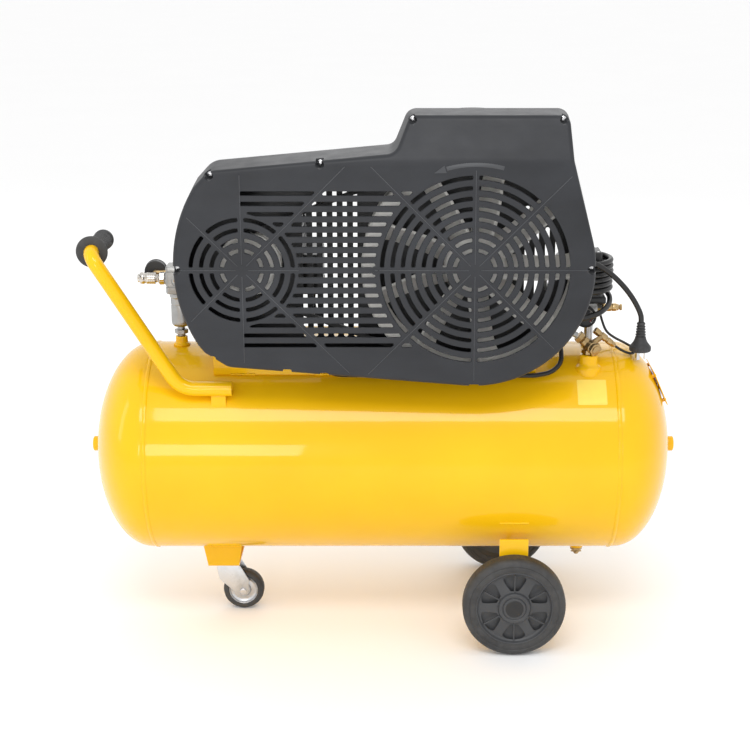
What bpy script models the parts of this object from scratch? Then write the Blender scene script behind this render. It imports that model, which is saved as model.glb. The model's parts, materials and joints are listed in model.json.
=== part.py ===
"""Belt-driven air compressor on a wheeled 100-litre receiver.

Metres, +Z up. The origin is on the ground under the middle of the receiver.
+X runs along the receiver towards the plug end, +Y points away from the belt guard.
"""

import math

import bmesh
import bpy
from mathutils import Matrix, Vector

# ---------------------------------------------------------------- driving dimensions
GAP = 0.0003                      # clearance kept between touching pieces

TANK_R = 0.185
TANK_Z = 0.3201                   # height of the receiver's axis
TANK_WALL = 0.0025
TANK_SIDES = 36                   # facets round the receiver
SHELL_HALF = 0.4037               # half length of the rolled shell
HEAD_FLANGE = 0.0085              # straight part of a head
HEAD_DEPTH = 0.098                # dished part of a head
BOSS_R = 0.0135
BOSS_LEN = 0.0133

WHEEL_X = 0.228
WHEEL_R = 0.0894
WHEEL_WIDTH = 0.040
WHEEL_FACE_Y = 0.2106             # outer face of a wheel
RIM_R = 0.0664
AXLE_R = 0.0078

CASTER_X = -0.288                 # swivel axis
CASTER_TRAIL = 0.028
CASTER_R = 0.0375
CASTER_WIDTH = 0.025

PLATFORM_X = (-0.290, 0.264)
PLATFORM_HALF_Y = 0.100
PLATFORM_TOP = 0.515
SHEET = 0.004

GUARD_FRONT_Y = -0.210
GUARD_BACK_Y = -0.115
GUARD_WALL = 0.003
GUARD_DRAFT = 0.004
BIG_CENTRE = (0.1527, 0.685)      # x, z of the large grille
SMALL_CENTRE = (-0.2244, 0.685)   # x, z of the small grille
SLOT = 0.0065                     # width of a grille slot
SLOT_PITCH = 0.0168
GRILLE_RIB = 0.010
ROW_PITCH = 0.0167
LEFT_SLOTS = 6                    # upright slots in the rear plate, beside the motor
LEFT_SLOT_X = -0.1287
RIGHT_SLOTS = 4                   # and beside the pump
RIGHT_SLOT_X = 0.2430
BACK_SLOT = 0.0070
BACK_SLOT_PITCH = 0.0170
BIG_GRILLE_R = 0.162
SMALL_GRILLE_R = 0.092

CRANK_X = 0.154
MOTOR_X = -0.217
DRIVE_Z = 0.684                   # height of the crank and motor axes
FLYWHEEL_R = 0.186
FLYWHEEL_Y = (-0.185, -0.135)
BELT_Y = -0.146                   # middle of the belt
BELT_R = 0.1775                   # belt's inner face on the flywheel
PULLEY_BELT_R = 0.0440            # belt's inner face on the motor pulley
BELT_THICK = 0.0075
BLADES = 9
SHAFT_R = 0.0115

PISTON_Y = -0.020
PISTON_R = 0.0325
CRANK_THROW = 0.022
ROD_LENGTH = 0.090
CASE_TOP = 0.745
CYLINDER_TOP = 0.830
HEAD_TOP = 0.872

HANDLE_R = 0.0125
HANDLE_Y = -0.142
HANDLE_FOOT = (-0.254, 0.4656)    # x, z of the open lower end
HANDLE_KNEE_X = -0.342            # x of the lower bend's corner
HANDLE_TOP = (-0.484, 0.697)      # x, z of the grip's axis
GRIP_Y = (-0.120, -0.008)

OUTLET_X = -0.357
VALVE_X = 0.3565
VALVE_Y = -0.080
VALVE_BASE_Z = 0.510
DRAIN_X = 0.355
POST_X = 0.364

SWITCH_X = 0.355                  # axis of the pressure switch and of the cord wound on it
SWITCH_Y = 0.005
COIL_R = 0.045                    # radius to the middle of a turn
COIL_Z = (0.597, 0.672)
CORD_D = 0.0095
PLUG_X = 0.4495
PLUG_Y = -0.050
PLUG_TOP = 0.5590

# A free cord's route keeps its points as a hand-made list, ordered from the exit.
CORD_START_ROUTE = [
    (0.2996, 0.0000, 0.5910), (0.2870, 0.0000, 0.5910), (0.2680, -0.0035, 0.5885),
    (0.2500, -0.0170, 0.5840), (0.2430, -0.0385, 0.5780), (0.2500, -0.0600, 0.5720),
    (0.2680, -0.0750, 0.5680), (0.2900, -0.0790, 0.5660), (0.3200, -0.0740, 0.5665),
    (0.3500, -0.0630, 0.5695), (0.3740, -0.0490, 0.5735), (0.3900, -0.0290, 0.5790),
    (0.3980, -0.0110, 0.5845), (0.4000, 0.0040, 0.5915),
]
CORD_END_ROUTE = [
    (0.3500, -0.0500, 0.6670), (0.3640, -0.0503, 0.6630), (0.3800, -0.0503, 0.6545),
    (0.3990, -0.0500, 0.6400), (0.4175, -0.0500, 0.6215), (0.4325, -0.0500, 0.6020),
    (0.4430, -0.0500, 0.5840), (0.4487, -0.0500, 0.5700), (0.4495, -0.0500, 0.5594),
]
MOTOR_CABLE_ROUTE = [
    (0.3215, 0.0180, 0.5910), (0.3110, 0.0180, 0.5910), (0.2960, 0.0070, 0.5800),
    (0.2980, -0.0230, 0.5560), (0.3080, -0.0550, 0.5260), (0.3080, -0.0860, 0.4990),
    (0.2920, -0.1010, 0.4850), (0.2700, -0.1060, 0.4800), (0.2480, -0.1075, 0.4790),
    (0.1500, -0.1070, 0.4800), (0.0500, -0.1070, 0.4800), (-0.0600, -0.1070, 0.4800),
    (-0.0900, -0.1070, 0.4860), (-0.1040, -0.1070, 0.5080), (-0.1040, -0.1000, 0.5400),
    (-0.1090, -0.0650, 0.5640), (-0.1200, -0.0320, 0.5860), (-0.1200, -0.0300, 0.6085),
]
DELIVERY_ROUTE = [
    (0.2136, -0.0200, 0.8500), (0.2350, -0.0200, 0.8500), (0.2600, -0.0470, 0.8230),
    (0.2680, -0.0830, 0.7450), (0.2740, -0.0940, 0.6500), (0.2900, -0.0950, 0.5850),
    (0.3130, -0.0870, 0.5560), (0.3345, -0.0820, 0.5440),
]
UNLOADER_ROUTE = [
    (0.4045, -0.0550, 0.5178), (0.4160, -0.0540, 0.5100), (0.4300, -0.0500, 0.5030),
    (0.4400, -0.0400, 0.5010), (0.4440, -0.0270, 0.5020), (0.4400, -0.0150, 0.5050),
    (0.4270, -0.0060, 0.5110), (0.4100, -0.0010, 0.5190), (0.3970, 0.0050, 0.5290),
    (0.3900, 0.0150, 0.5450), (0.3845, 0.0260, 0.5680), (0.3840, 0.0270, 0.5848),
]

COLOURS = {
    # name: (red, green, blue), roughness, metallic
    "tank_yellow": ((0.94, 0.60, 0.02), 0.28, 0.0),
    "guard_plastic": ((0.055, 0.057, 0.063), 0.50, 0.0),
    "black_plastic": ((0.018, 0.018, 0.019), 0.42, 0.0),
    "grey_plastic": ((0.060, 0.061, 0.064), 0.48, 0.0),
    "black_rubber": ((0.015, 0.015, 0.015), 0.70, 0.0),
    "cast_metal": ((0.46, 0.43, 0.39), 0.45, 1.0),
    "black_iron": ((0.03, 0.03, 0.032), 0.50, 0.0),
    "alloy": ((0.62, 0.62, 0.62), 0.40, 1.0),
    "zinc_steel": ((0.66, 0.67, 0.68), 0.32, 1.0),
    "nickel": ((0.72, 0.70, 0.66), 0.20, 1.0),
    "brass": ((0.72, 0.50, 0.22), 0.28, 1.0),
    "cord_sheath": ((0.020, 0.020, 0.021), 0.50, 0.0),
}


# ---------------------------------------------------------------- tools
def clear_scene():
    for obj in list(bpy.data.objects):
        bpy.data.objects.remove(obj, do_unlink=True)


def material(name):
    found = bpy.data.materials.get(name)
    if found:
        return found
    colour, roughness, metallic = COLOURS[name]
    mat = bpy.data.materials.new(name)
    mat.use_nodes = True
    shader = mat.node_tree.nodes["Principled BSDF"]
    shader.inputs["Base Color"].default_value = (*colour, 1.0)
    shader.inputs["Roughness"].default_value = roughness
    shader.inputs["Metallic"].default_value = metallic
    return mat


def add_object(name, bm, mat, location=(0, 0, 0), direction=None):
    """Turn a bmesh into an object; direction is where its local +Z points."""
    bmesh.ops.remove_doubles(bm, verts=bm.verts, dist=1e-6)
    bmesh.ops.recalc_face_normals(bm, faces=bm.faces)
    mesh = bpy.data.meshes.new(name)
    bm.to_mesh(mesh)
    bm.free()
    mesh.materials.append(material(mat))
    mesh.shade_smooth()
    mesh.set_sharp_from_angle(angle=math.radians(35))
    obj = bpy.data.objects.new(name, mesh)
    obj.location = location
    if direction is not None:
        obj.rotation_euler = Vector(direction).to_track_quat("Z", "Y").to_euler()
    bpy.context.scene.collection.objects.link(obj)
    return obj


def combine(target, tool, operation):
    """Apply one Boolean to target and remove the tool."""
    modifier = target.modifiers.new("combine", "BOOLEAN")
    modifier.operation = operation
    modifier.solver = "EXACT"
    modifier.object = tool
    bpy.context.view_layer.update()
    evaluated = target.evaluated_get(bpy.context.evaluated_depsgraph_get())
    mesh = bpy.data.meshes.new_from_object(evaluated)
    mesh.name = target.name
    target.modifiers.clear()
    target.data = mesh
    bpy.data.objects.remove(tool, do_unlink=True)
    return target


def cut(target, *tools):
    for tool in tools:
        combine(target, tool, "DIFFERENCE")
    return target


def join(target, *tools):
    for tool in tools:
        combine(target, tool, "UNION")
    return target


def turned_mesh(bm, profile, segments, closed):
    """Revolve (radius, height) points about Z; a closed profile makes a ring."""
    rings = []
    for radius, height in profile:
        if radius < 1e-9:
            rings.append([bm.verts.new((0, 0, height))])
            continue
        ring = []
        for i in range(segments):
            angle = 2 * math.pi * i / segments
            ring.append(bm.verts.new((radius * math.cos(angle), radius * math.sin(angle), height)))
        rings.append(ring)
    pairs = list(zip(rings, rings[1:]))
    if closed:
        pairs.append((rings[-1], rings[0]))
    for low, high in pairs:
        if len(low) == len(high) == 1:
            continue
        for i in range(segments):
            j = (i + 1) % segments
            if len(low) == 1:
                bm.faces.new((low[0], high[j], high[i]))
            elif len(high) == 1:
                bm.faces.new((low[i], low[j], high[0]))
            else:
                bm.faces.new((low[i], low[j], high[j], high[i]))


def turned(name, profile, mat, location=(0, 0, 0), direction=(0, 0, 1), segments=16):
    """A turned solid; it is a ring when the profile keeps off the axis."""
    bm = bmesh.new()
    closed = profile[0][0] > 1e-9
    turned_mesh(bm, profile, segments, closed)
    return add_object(name, bm, mat, location, direction)


def rod(name, start, end, radius, mat, segments=12):
    start = Vector(start)
    axis = Vector(end) - start
    profile = [(0, 0), (radius, 0), (radius, axis.length), (0, axis.length)]
    return turned(name, profile, mat, start, axis, segments)


def box(name, low, high, mat, location=(0, 0, 0)):
    """A block between two corners given in world coordinates."""
    bm = bmesh.new()
    bmesh.ops.create_cube(bm, size=1.0)
    middle = (Vector(low) + Vector(high)) / 2 - Vector(location)
    size = Vector(high) - Vector(low)
    for vert in bm.verts:
        vert.co = Vector(a * b for a, b in zip(vert.co, size)) + middle
    return add_object(name, bm, mat, location)


def bevelled(obj, width, segments=1):
    """Bevel the sharp edges of a mesh object in place."""
    bm = bmesh.new()
    bm.from_mesh(obj.data)
    edges = [e for e in bm.edges if e.calc_face_angle(0) > math.radians(30)]
    bmesh.ops.bevel(bm, geom=edges, offset=width, segments=segments, affect="EDGES", clamp_overlap=True)
    bmesh.ops.recalc_face_normals(bm, faces=bm.faces)
    bm.to_mesh(obj.data)
    bm.free()
    return obj


PLANES = {
    # outline's first axis, outline's second axis, extrusion axis
    "XZ": (Vector((1, 0, 0)), Vector((0, 0, 1)), Vector((0, 1, 0))),
    "XY": (Vector((1, 0, 0)), Vector((0, 1, 0)), Vector((0, 0, 1))),
    "YZ": (Vector((0, 1, 0)), Vector((0, 0, 1)), Vector((1, 0, 0))),
}


def add_prism(bm, outline, low, high, plane):
    u, v, w = PLANES[plane]
    front = [bm.verts.new(u * a + v * b + w * low) for a, b in outline]
    back = [bm.verts.new(u * a + v * b + w * high) for a, b in outline]
    bm.faces.new(front)
    bm.faces.new(back[::-1])
    count = len(outline)
    for i in range(count):
        j = (i + 1) % count
        bm.faces.new((front[i], back[i], back[j], front[j]))


def prism(name, outline, low, high, plane, mat, location=(0, 0, 0)):
    """Extrude a world-coordinate outline; the object's origin is at location."""
    return prisms(name, [outline], low, high, plane, mat, location)


def prisms(name, outlines, low, high, plane, mat, location=(0, 0, 0)):
    bm = bmesh.new()
    for outline in outlines:
        add_prism(bm, outline, low, high, plane)
    bmesh.ops.translate(bm, verts=bm.verts, vec=-Vector(location))
    return add_object(name, bm, mat, location)


def arc(centre, radius, start, end, steps):
    """Points on an arc between two angles in degrees, both ends included."""
    points = []
    for i in range(steps + 1):
        angle = math.radians(start + (end - start) * i / steps)
        points.append((centre[0] + radius * math.cos(angle), centre[1] + radius * math.sin(angle)))
    return points


def rounded(corners, step_deg=18):
    """Replace each (a, b, radius) corner of a closed outline by an arc."""
    points = []
    count = len(corners)
    for i, (a, b, radius) in enumerate(corners):
        corner = Vector((a, b))
        if radius <= 0:
            points.append(corner.to_tuple())
            continue
        before = (Vector(corners[i - 1][:2]) - corner).normalized()
        after = (Vector(corners[(i + 1) % count][:2]) - corner).normalized()
        half = before.angle(after) / 2
        reach = radius / math.tan(half)
        centre = corner + (before + after).normalized() * (radius / math.sin(half))
        start = corner + before * reach - centre
        turn = math.pi - 2 * half
        side = 1 if before.x * after.y - before.y * after.x < 0 else -1
        steps = max(1, round(math.degrees(turn) / step_deg))
        for k in range(steps + 1):
            spun = start.copy()
            spun.rotate(Matrix.Rotation(side * turn * k / steps, 2))
            points.append((centre + spun).to_tuple())
    return points


def offset_outline(outline, distance):
    """Move a counter-clockwise outline outwards by distance."""
    moved = []
    count = len(outline)
    for i in range(count):
        here = Vector(outline[i])
        before = (here - Vector(outline[i - 1])).normalized()
        after = (Vector(outline[(i + 1) % count]) - here).normalized()
        normal = Vector((before.y + after.y, -before.x - after.x)).normalized()
        stretch = 1 / max(0.5, normal.dot(Vector((after.y, -after.x))))
        moved.append((here + normal * distance * stretch).to_tuple())
    return moved


def smooth_path(route, spacing):
    """Read evenly spaced points from a smooth curve through a route's points."""
    points = [Vector(p) for p in route]
    padded = [2 * points[0] - points[1]] + points + [2 * points[-1] - points[-2]]
    dense = []
    for p0, p1, p2, p3 in zip(padded, padded[1:], padded[2:], padded[3:]):
        for k in range(24):
            t = k / 24
            dense.append(0.5 * (2 * p1 + (p2 - p0) * t + (2 * p0 - 5 * p1 + 4 * p2 - p3) * t ** 2
                                + (3 * p1 - p0 - 3 * p2 + p3) * t ** 3))
    dense.append(points[-1])
    travelled = [0.0]
    for a, b in zip(dense, dense[1:]):
        travelled.append(travelled[-1] + (b - a).length)
    steps = max(2, round(travelled[-1] / spacing))
    path = []
    k = 0
    for i in range(steps + 1):
        goal = travelled[-1] * i / steps
        while k < len(dense) - 2 and travelled[k + 1] < goal:
            k += 1
        part = (goal - travelled[k]) / (travelled[k + 1] - travelled[k])
        path.append(dense[k].lerp(dense[k + 1], min(1.0, part)))
    # a short first and last step squares the two end faces to the route
    return [path[0], dense[3]] + path[1:-1] + [dense[-4], path[-1]]


def tube(name, route, diameter, mat, resolution=2, spacing=2.5):
    """A solid round tube along a smooth route."""
    path = smooth_path(route, diameter * spacing)
    curve = bpy.data.curves.new(name, "CURVE")
    curve.dimensions = "3D"
    curve.bevel_depth = diameter / 2
    curve.bevel_resolution = resolution
    curve.use_fill_caps = True
    spline = curve.splines.new("POLY")
    spline.points.add(len(path) - 1)
    for point, place in zip(spline.points, path):
        point.co = (*place, 1.0)
    curve.materials.append(material(mat))
    obj = bpy.data.objects.new(name, curve)
    bpy.context.scene.collection.objects.link(obj)
    return obj


def bent_pipe(name, corners, bend_radii, radius, wall, mat, segments=10):
    """A hollow pipe, open at both ends, with a round bend at each inner corner."""
    points = [Vector(corners[0])]
    for i, bend in enumerate(bend_radii, start=1):
        corner = Vector(corners[i])
        before = (Vector(corners[i - 1]) - corner).normalized()
        after = (Vector(corners[i + 1]) - corner).normalized()
        half = before.angle(after) / 2
        centre = corner + (before + after).normalized() * (bend / math.sin(half))
        start = corner + before * (bend / math.tan(half)) - centre
        turn = math.pi - 2 * half
        axis = before.cross(after)
        steps = max(3, round(math.degrees(turn) / 18))
        for k in range(steps + 1):
            points.append(centre + Matrix.Rotation(-turn * k / steps, 3, axis) @ start)
    points.append(Vector(corners[-1]))
    bm = bmesh.new()
    normal = Vector((0, 1, 0))
    loops = []
    for i, point in enumerate(points):
        before = points[max(i - 1, 0)]
        after = points[min(i + 1, len(points) - 1)]
        tangent = (after - before).normalized()
        normal = (normal - tangent * normal.dot(tangent)).normalized()
        side = tangent.cross(normal)
        loop = []
        for r in (radius, radius - wall):
            ring = []
            for k in range(segments):
                angle = 2 * math.pi * k / segments
                ring.append(bm.verts.new(point + r * (math.cos(angle) * normal + math.sin(angle) * side)))
            loop.append(ring)
        loops.append(loop)
    for first, second in zip(loops, loops[1:]):
        for layer in (0, 1):
            for k in range(segments):
                j = (k + 1) % segments
                bm.faces.new((first[layer][k], first[layer][j], second[layer][j], second[layer][k]))
    for end in (loops[0], loops[-1]):
        for k in range(segments):
            j = (k + 1) % segments
            bm.faces.new((end[0][k], end[0][j], end[1][j], end[1][k]))
    return add_object(name, bm, mat)


def tank_cutter():
    """A cylinder a gap larger than the receiver, for fitting welded pieces to it."""
    sides = 64
    radius = (TANK_R + GAP) / math.cos(math.pi / sides)
    return rod("tank_cutter", (-0.41, 0, TANK_Z), (0.41, 0, TANK_Z), radius, "tank_yellow", sides)


# ---------------------------------------------------------------- receiver
def build_tank():
    inner = TANK_R - TANK_WALL
    profile = [(TANK_R, -SHELL_HALF), (TANK_R, SHELL_HALF), (inner, SHELL_HALF), (inner, -SHELL_HALF)]
    turned("tank_shell", profile, "tank_yellow", (0, 0, TANK_Z), (1, 0, 0), TANK_SIDES)
    start = SHELL_HALF + GAP
    knuckle = start + HEAD_FLANGE
    outer_arc = []
    inner_arc = []
    for angle in (0, 20, 40, 60, 76):
        angle = math.radians(angle)
        outer_arc.append((TANK_R * math.cos(angle), knuckle + HEAD_DEPTH * math.sin(angle)))
    for angle in (0, 30, 58):
        angle = math.radians(angle)
        inner_arc.append((inner * math.cos(angle), knuckle + (HEAD_DEPTH - TANK_WALL) * math.sin(angle)))
    crown = knuckle + HEAD_DEPTH
    boss_end = crown + BOSS_LEN
    profile = [(inner, start), (TANK_R, start)] + outer_arc
    profile += [(BOSS_R, crown - 0.0006), (BOSS_R, boss_end - 0.0015), (BOSS_R - 0.0015, boss_end),
                (0, boss_end)]
    profile += [(0, crown - TANK_WALL)] + inner_arc[::-1]
    for name, side in (("tank_head_right", 1), ("tank_head_left", -1)):
        bm = bmesh.new()
        turned_mesh(bm, profile, TANK_SIDES, True)
        add_object(name, bm, "tank_yellow", (0, 0, TANK_Z), (side, 0, 0))


def build_sockets():
    turned("outlet_socket", [(0.0072, 0), (0.0150, 0), (0.0150, 0.0030), (0.0105, 0.0050), (0.0105, 0.0155),
                             (0.0072, 0.0155)],
           "tank_yellow", (OUTLET_X, 0, TANK_Z + TANK_R + 0.0009), segments=20)
    low = TANK_Z + 0.1500
    socket = turned("valve_socket", [(0.0100, 0), (0.0230, 0), (0.0230, 0.0180), (0.0155, 0.0230),
                                     (0.0155, VALVE_BASE_Z - low), (0.0100, VALVE_BASE_Z - low)],
                    "tank_yellow", (VALVE_X, VALVE_Y, low), segments=20)
    cut(socket, tank_cutter())
    top = TANK_Z - TANK_R - GAP
    turned("drain_boss", [(0, 0), (0.0095, 0), (0.0120, 0.002), (0.0120, 0.0148), (0, 0.0148)],
           "tank_yellow", (DRAIN_X, 0, top - 0.0148), segments=16)
    cock = turned("drain_cock", [(0, -0.0140), (0.0035, -0.0140), (0.0045, -0.0120), (0.0045, -0.0060),
                                 (0.0065, -0.0050), (0.0065, -GAP), (0, -GAP)],
                  "nickel", (DRAIN_X, 0, top - 0.0148), segments=16)
    wing = box("wing", (DRAIN_X - 0.011, -0.0012, top - 0.0278), (DRAIN_X + 0.011, 0.0012, top - 0.0220),
               "nickel", (DRAIN_X, 0, top - 0.0148))
    join(cock, wing)


# ---------------------------------------------------------------- running gear
def build_wheel(name, side):
    """A tyre and a rim; side is -1 at the guard's side and +1 behind."""
    middle = side * (WHEEL_FACE_Y - WHEEL_WIDTH / 2)
    at = (WHEEL_X, middle, WHEEL_R)
    half = WHEEL_WIDTH / 2
    inner = RIM_R + GAP
    tyre = [(inner, -half + 0.002), (0.0780, -half), (0.0850, -half + 0.003), (WHEEL_R, -half + 0.010),
            (WHEEL_R, half - 0.010), (0.0850, half - 0.003), (0.0780, half), (inner, half - 0.002)]
    turned("wheel_tyre_" + name, tyre, "black_rubber", at, (0, side, 0), 28)
    bore = AXLE_R + 0.0008
    rim = [(bore, -half + 0.001), (0.0240, -half + 0.001), (0.0240, -0.010), (0.0600, -0.010),
           (RIM_R, -half + 0.003), (RIM_R, half - 0.003), (0.0600, half - 0.009), (0.0290, half - 0.007),
           (0.0270, half - 0.001), (bore, half - 0.001)]
    wheel = turned("wheel_rim_" + name, rim, "grey_plastic", at, (0, side, 0), 28)
    pockets = []
    for k in range(6):
        turn = math.radians(30 + 60 * k)
        outline = []
        for radius, angle in ((0.0340, -8), (0.0560, -19), (0.0575, 0), (0.0560, 19), (0.0340, 8)):
            spun = math.radians(angle) + turn
            outline.append((WHEEL_X + radius * math.cos(spun), WHEEL_R + radius * math.sin(spun)))
        pockets.append(outline)
    face = side * (WHEEL_FACE_Y - 0.014)
    low, high = sorted((face, side * (WHEEL_FACE_Y + 0.01)))
    cut(wheel, prisms("pockets", pockets, low, high, "XZ", "grey_plastic"))


def build_wheel_bracket(name, side):
    corners = [(0.203, 0.2400, 0), (0.203, 0.0980, 0.004), (0.212, 0.0680, 0.016), (0.244, 0.0680, 0.016),
               (0.253, 0.0980, 0.004), (0.253, 0.2400, 0)]
    low, high = sorted((side * 0.1620, side * 0.1660))
    bracket = prism("wheel_bracket_" + name, rounded(corners), low, high, "XZ", "tank_yellow")
    hole = rod("hole", (WHEEL_X, -0.3, WHEEL_R), (WHEEL_X, 0.3, WHEEL_R), AXLE_R + 0.0006, "zinc_steel", 16)
    cut(bracket, hole, tank_cutter())


def build_running_gear():
    end = WHEEL_FACE_Y - 0.004
    rod("wheel_axle", (WHEEL_X, -end, WHEEL_R), (WHEEL_X, end, WHEEL_R), AXLE_R, "zinc_steel", 16)
    for name, side in (("front", -1), ("rear", 1)):
        build_wheel(name, side)
        build_wheel_bracket(name, side)


def build_caster():
    top = 0.1406
    profile = [(-0.050, top), (-0.050, 0.1000), (0.050, 0.1000), (0.050, top), (0.046, top),
               (0.046, 0.1040), (-0.046, 0.1040), (-0.046, top)]
    bracket = prism("caster_bracket", profile, -0.326, -0.256, "YZ", "tank_yellow")
    for vert in bracket.data.vertices:
        if vert.co.z < 0.11:
            vert.co.x += 0.007 if vert.co.x < -0.29 else -0.006
    plate_top = 0.1000 - GAP
    plate = box("caster_plate", (CASTER_X - 0.027, -0.023, plate_top - 0.003),
                (CASTER_X + 0.024, 0.023, plate_top),
                "zinc_steel")
    neck = turned("neck", [(0, 0), (0.0165, 0), (0.0185, 0.003), (0.0185, 0.0085), (0, 0.0085)],
                  "zinc_steel", (CASTER_X, 0, plate_top - 0.0105), segments=20)
    join(plate, neck)
    wheel_x = CASTER_X + CASTER_TRAIL
    fork_top = plate_top - 0.0105 - GAP
    leg = rounded([(CASTER_X - 0.020, fork_top, 0.004), (CASTER_X - 0.016, 0.0620, 0.010),
                   (wheel_x - 0.009, 0.0300, 0.008), (wheel_x + 0.009, 0.0300, 0.008),
                   (wheel_x + 0.011, 0.0600, 0.010), (CASTER_X + 0.022, fork_top, 0.004)])
    half = CASTER_WIDTH / 2 + 0.0045
    at = (CASTER_X, 0, fork_top)
    fork = prism("caster_fork", leg, -half, half, "XZ", "zinc_steel", at)
    inside = box("inside", (-0.40, -half + 0.0025, 0), (-0.20, half - 0.0025, fork_top - 0.0035),
                 "zinc_steel")
    pin = rod("pin", (wheel_x, -0.1, CASTER_R), (wheel_x, 0.1, CASTER_R), 0.0043, "zinc_steel", 12)
    cut(fork, inside, pin)
    rod("caster_axle", (wheel_x, -half - 0.003, CASTER_R), (wheel_x, half + 0.003, CASTER_R), 0.0040,
        "zinc_steel", 12)
    side = CASTER_WIDTH / 2
    turned("caster_rim", [(0.0048, -side), (0.0120, -side), (0.0200, -0.007), (0.0260, -side + 0.001),
                          (0.0260, side - 0.001), (0.0200, 0.007), (0.0120, side), (0.0048, side)],
           "zinc_steel", (wheel_x, 0, CASTER_R), (0, 1, 0), 16)
    turned("caster_tyre", [(0.0263, -side + 0.001), (0.0345, -side), (CASTER_R, -side + 0.005),
                           (CASTER_R, side - 0.005),
                           (0.0345, side), (0.0263, side - 0.001)],
           "black_rubber", (wheel_x, 0, CASTER_R), (0, 1, 0), 24)


# ---------------------------------------------------------------- platform and handle
def build_platform():
    y = PLATFORM_HALF_Y
    low = TANK_Z + math.sqrt(TANK_R ** 2 - (y - SHEET) ** 2) + GAP
    under = PLATFORM_TOP - SHEET
    corners = [(-y, low, 0), (-y + SHEET, low, 0), (-y + SHEET, under, 0.002), (y - SHEET, under, 0.002),
               (y - SHEET, low, 0), (y, low, 0), (y, PLATFORM_TOP, 0.006), (-y, PLATFORM_TOP, 0.006)]
    prism("platform", rounded(corners, 30), *PLATFORM_X, "YZ", "tank_yellow")


def build_handle():
    y = HANDLE_Y
    foot_x, foot_z = HANDLE_FOOT
    top_x, top_z = HANDLE_TOP
    corners = [(foot_x, y, foot_z), (HANDLE_KNEE_X, y, foot_z), (top_x, y, top_z),
               (top_x, GRIP_Y[1] - 0.006, top_z)]
    handle = bent_pipe("handle_tube", corners, (0.045, 0.022), HANDLE_R, 0.002, "tank_yellow")
    tab = box("tab", (-0.290, y - 0.004, 0.430), (-0.265, y + 0.004, foot_z - HANDLE_R + 0.001),
              "tank_yellow")
    join(handle, cut(tab, tank_cutter()))
    start, end = GRIP_Y
    bore = HANDLE_R + GAP
    length = end - start
    profile = [(bore, 0), (0.0267, 0), (0.0267, 0.004), (0.0165, 0.009), (0.0155, 0.014),
               (0.0155, length - 0.012),
               (0.0177, length - 0.009), (0.0177, length - 0.002), (0.0160, length), (0, length),
               (0, length - 0.005), (bore, length - 0.005)]
    bm = bmesh.new()
    turned_mesh(bm, profile, 16, True)
    add_object("handle_grip", bm, "black_rubber", (top_x, start, top_z), (0, 1, 0))


# ---------------------------------------------------------------- belt guard
def guard_outline():
    """The guard's counter-clockwise outline in x and z."""
    corners = [(*p, 0) for p in arc(BIG_CENTRE, 0.196, -94.3, 13.5, 12)]
    corners += [(0.309, 0.861, 0), (0.3020, 0.931, 0.016), (0.0475, 0.931, 0.016), (0.0240, 0.8733, 0.022),
                (-0.2745, 0.8458, 0.030)]
    corners += [(*p, 0) for p in arc((-0.0878, 0.688), 0.2487, 148.2, 211.5, 6)]
    corners += [(-0.2900, 0.5460, 0.010), (-0.2520, 0.5213, 0.030)]
    return rounded(corners)


def ring_slots(centre, first, rings):
    """Outlines of concentric slots in eight sectors between straight ribs."""
    slots = []
    for k in range(rings):
        middle = first + SLOT_PITCH * k
        inner = middle - SLOT / 2
        outer = middle + SLOT / 2
        steps = 3 if k > 5 else 2
        for sector in range(8):
            start = 45 * sector
            inner_rib = math.degrees(math.asin(GRILLE_RIB / 2 / inner))
            outer_rib = math.degrees(math.asin(GRILLE_RIB / 2 / outer))
            slot = arc(centre, outer, start + outer_rib, start + 45 - outer_rib, steps)
            slot += arc(centre, inner, start + 45 - inner_rib, start + inner_rib, steps)
            slots.append(slot)
    return slots


def row_slots():
    """Outlines of the straight slots between the two grilles, cut by the slanting ribs."""
    slant = GRILLE_RIB / math.sqrt(2)
    slots = []
    for k in range(8):
        for side in (1, -1):
            edges = []
            for lift in (-SLOT / 2, SLOT / 2):
                rise = 0.0084 + ROW_PITCH * k + lift
                left = SMALL_CENTRE[0] + math.sqrt(max(0.0, SMALL_GRILLE_R ** 2 - rise ** 2))
                right = BIG_CENTRE[0] - math.sqrt(BIG_GRILLE_R ** 2 - rise ** 2)
                left_rib = SMALL_CENTRE[0] + rise
                right_rib = BIG_CENTRE[0] - rise
                stops = [(left, left_rib - slant), (max(left, left_rib + slant),
                                                    min(right, right_rib - slant)),
                         (right_rib + slant, right)]
                edges.append((BIG_CENTRE[1] + side * rise, stops))
            (z_near, near), (z_far, far) = edges
            for (a, b), (c, d) in zip(near, far):
                if b - a > 0.004 and d - c > 0.004:
                    slot = [(a, z_near), (b, z_near), (d, z_far), (c, z_far)]
                    slots.append(slot if side > 0 else slot[::-1])
    return slots


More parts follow.
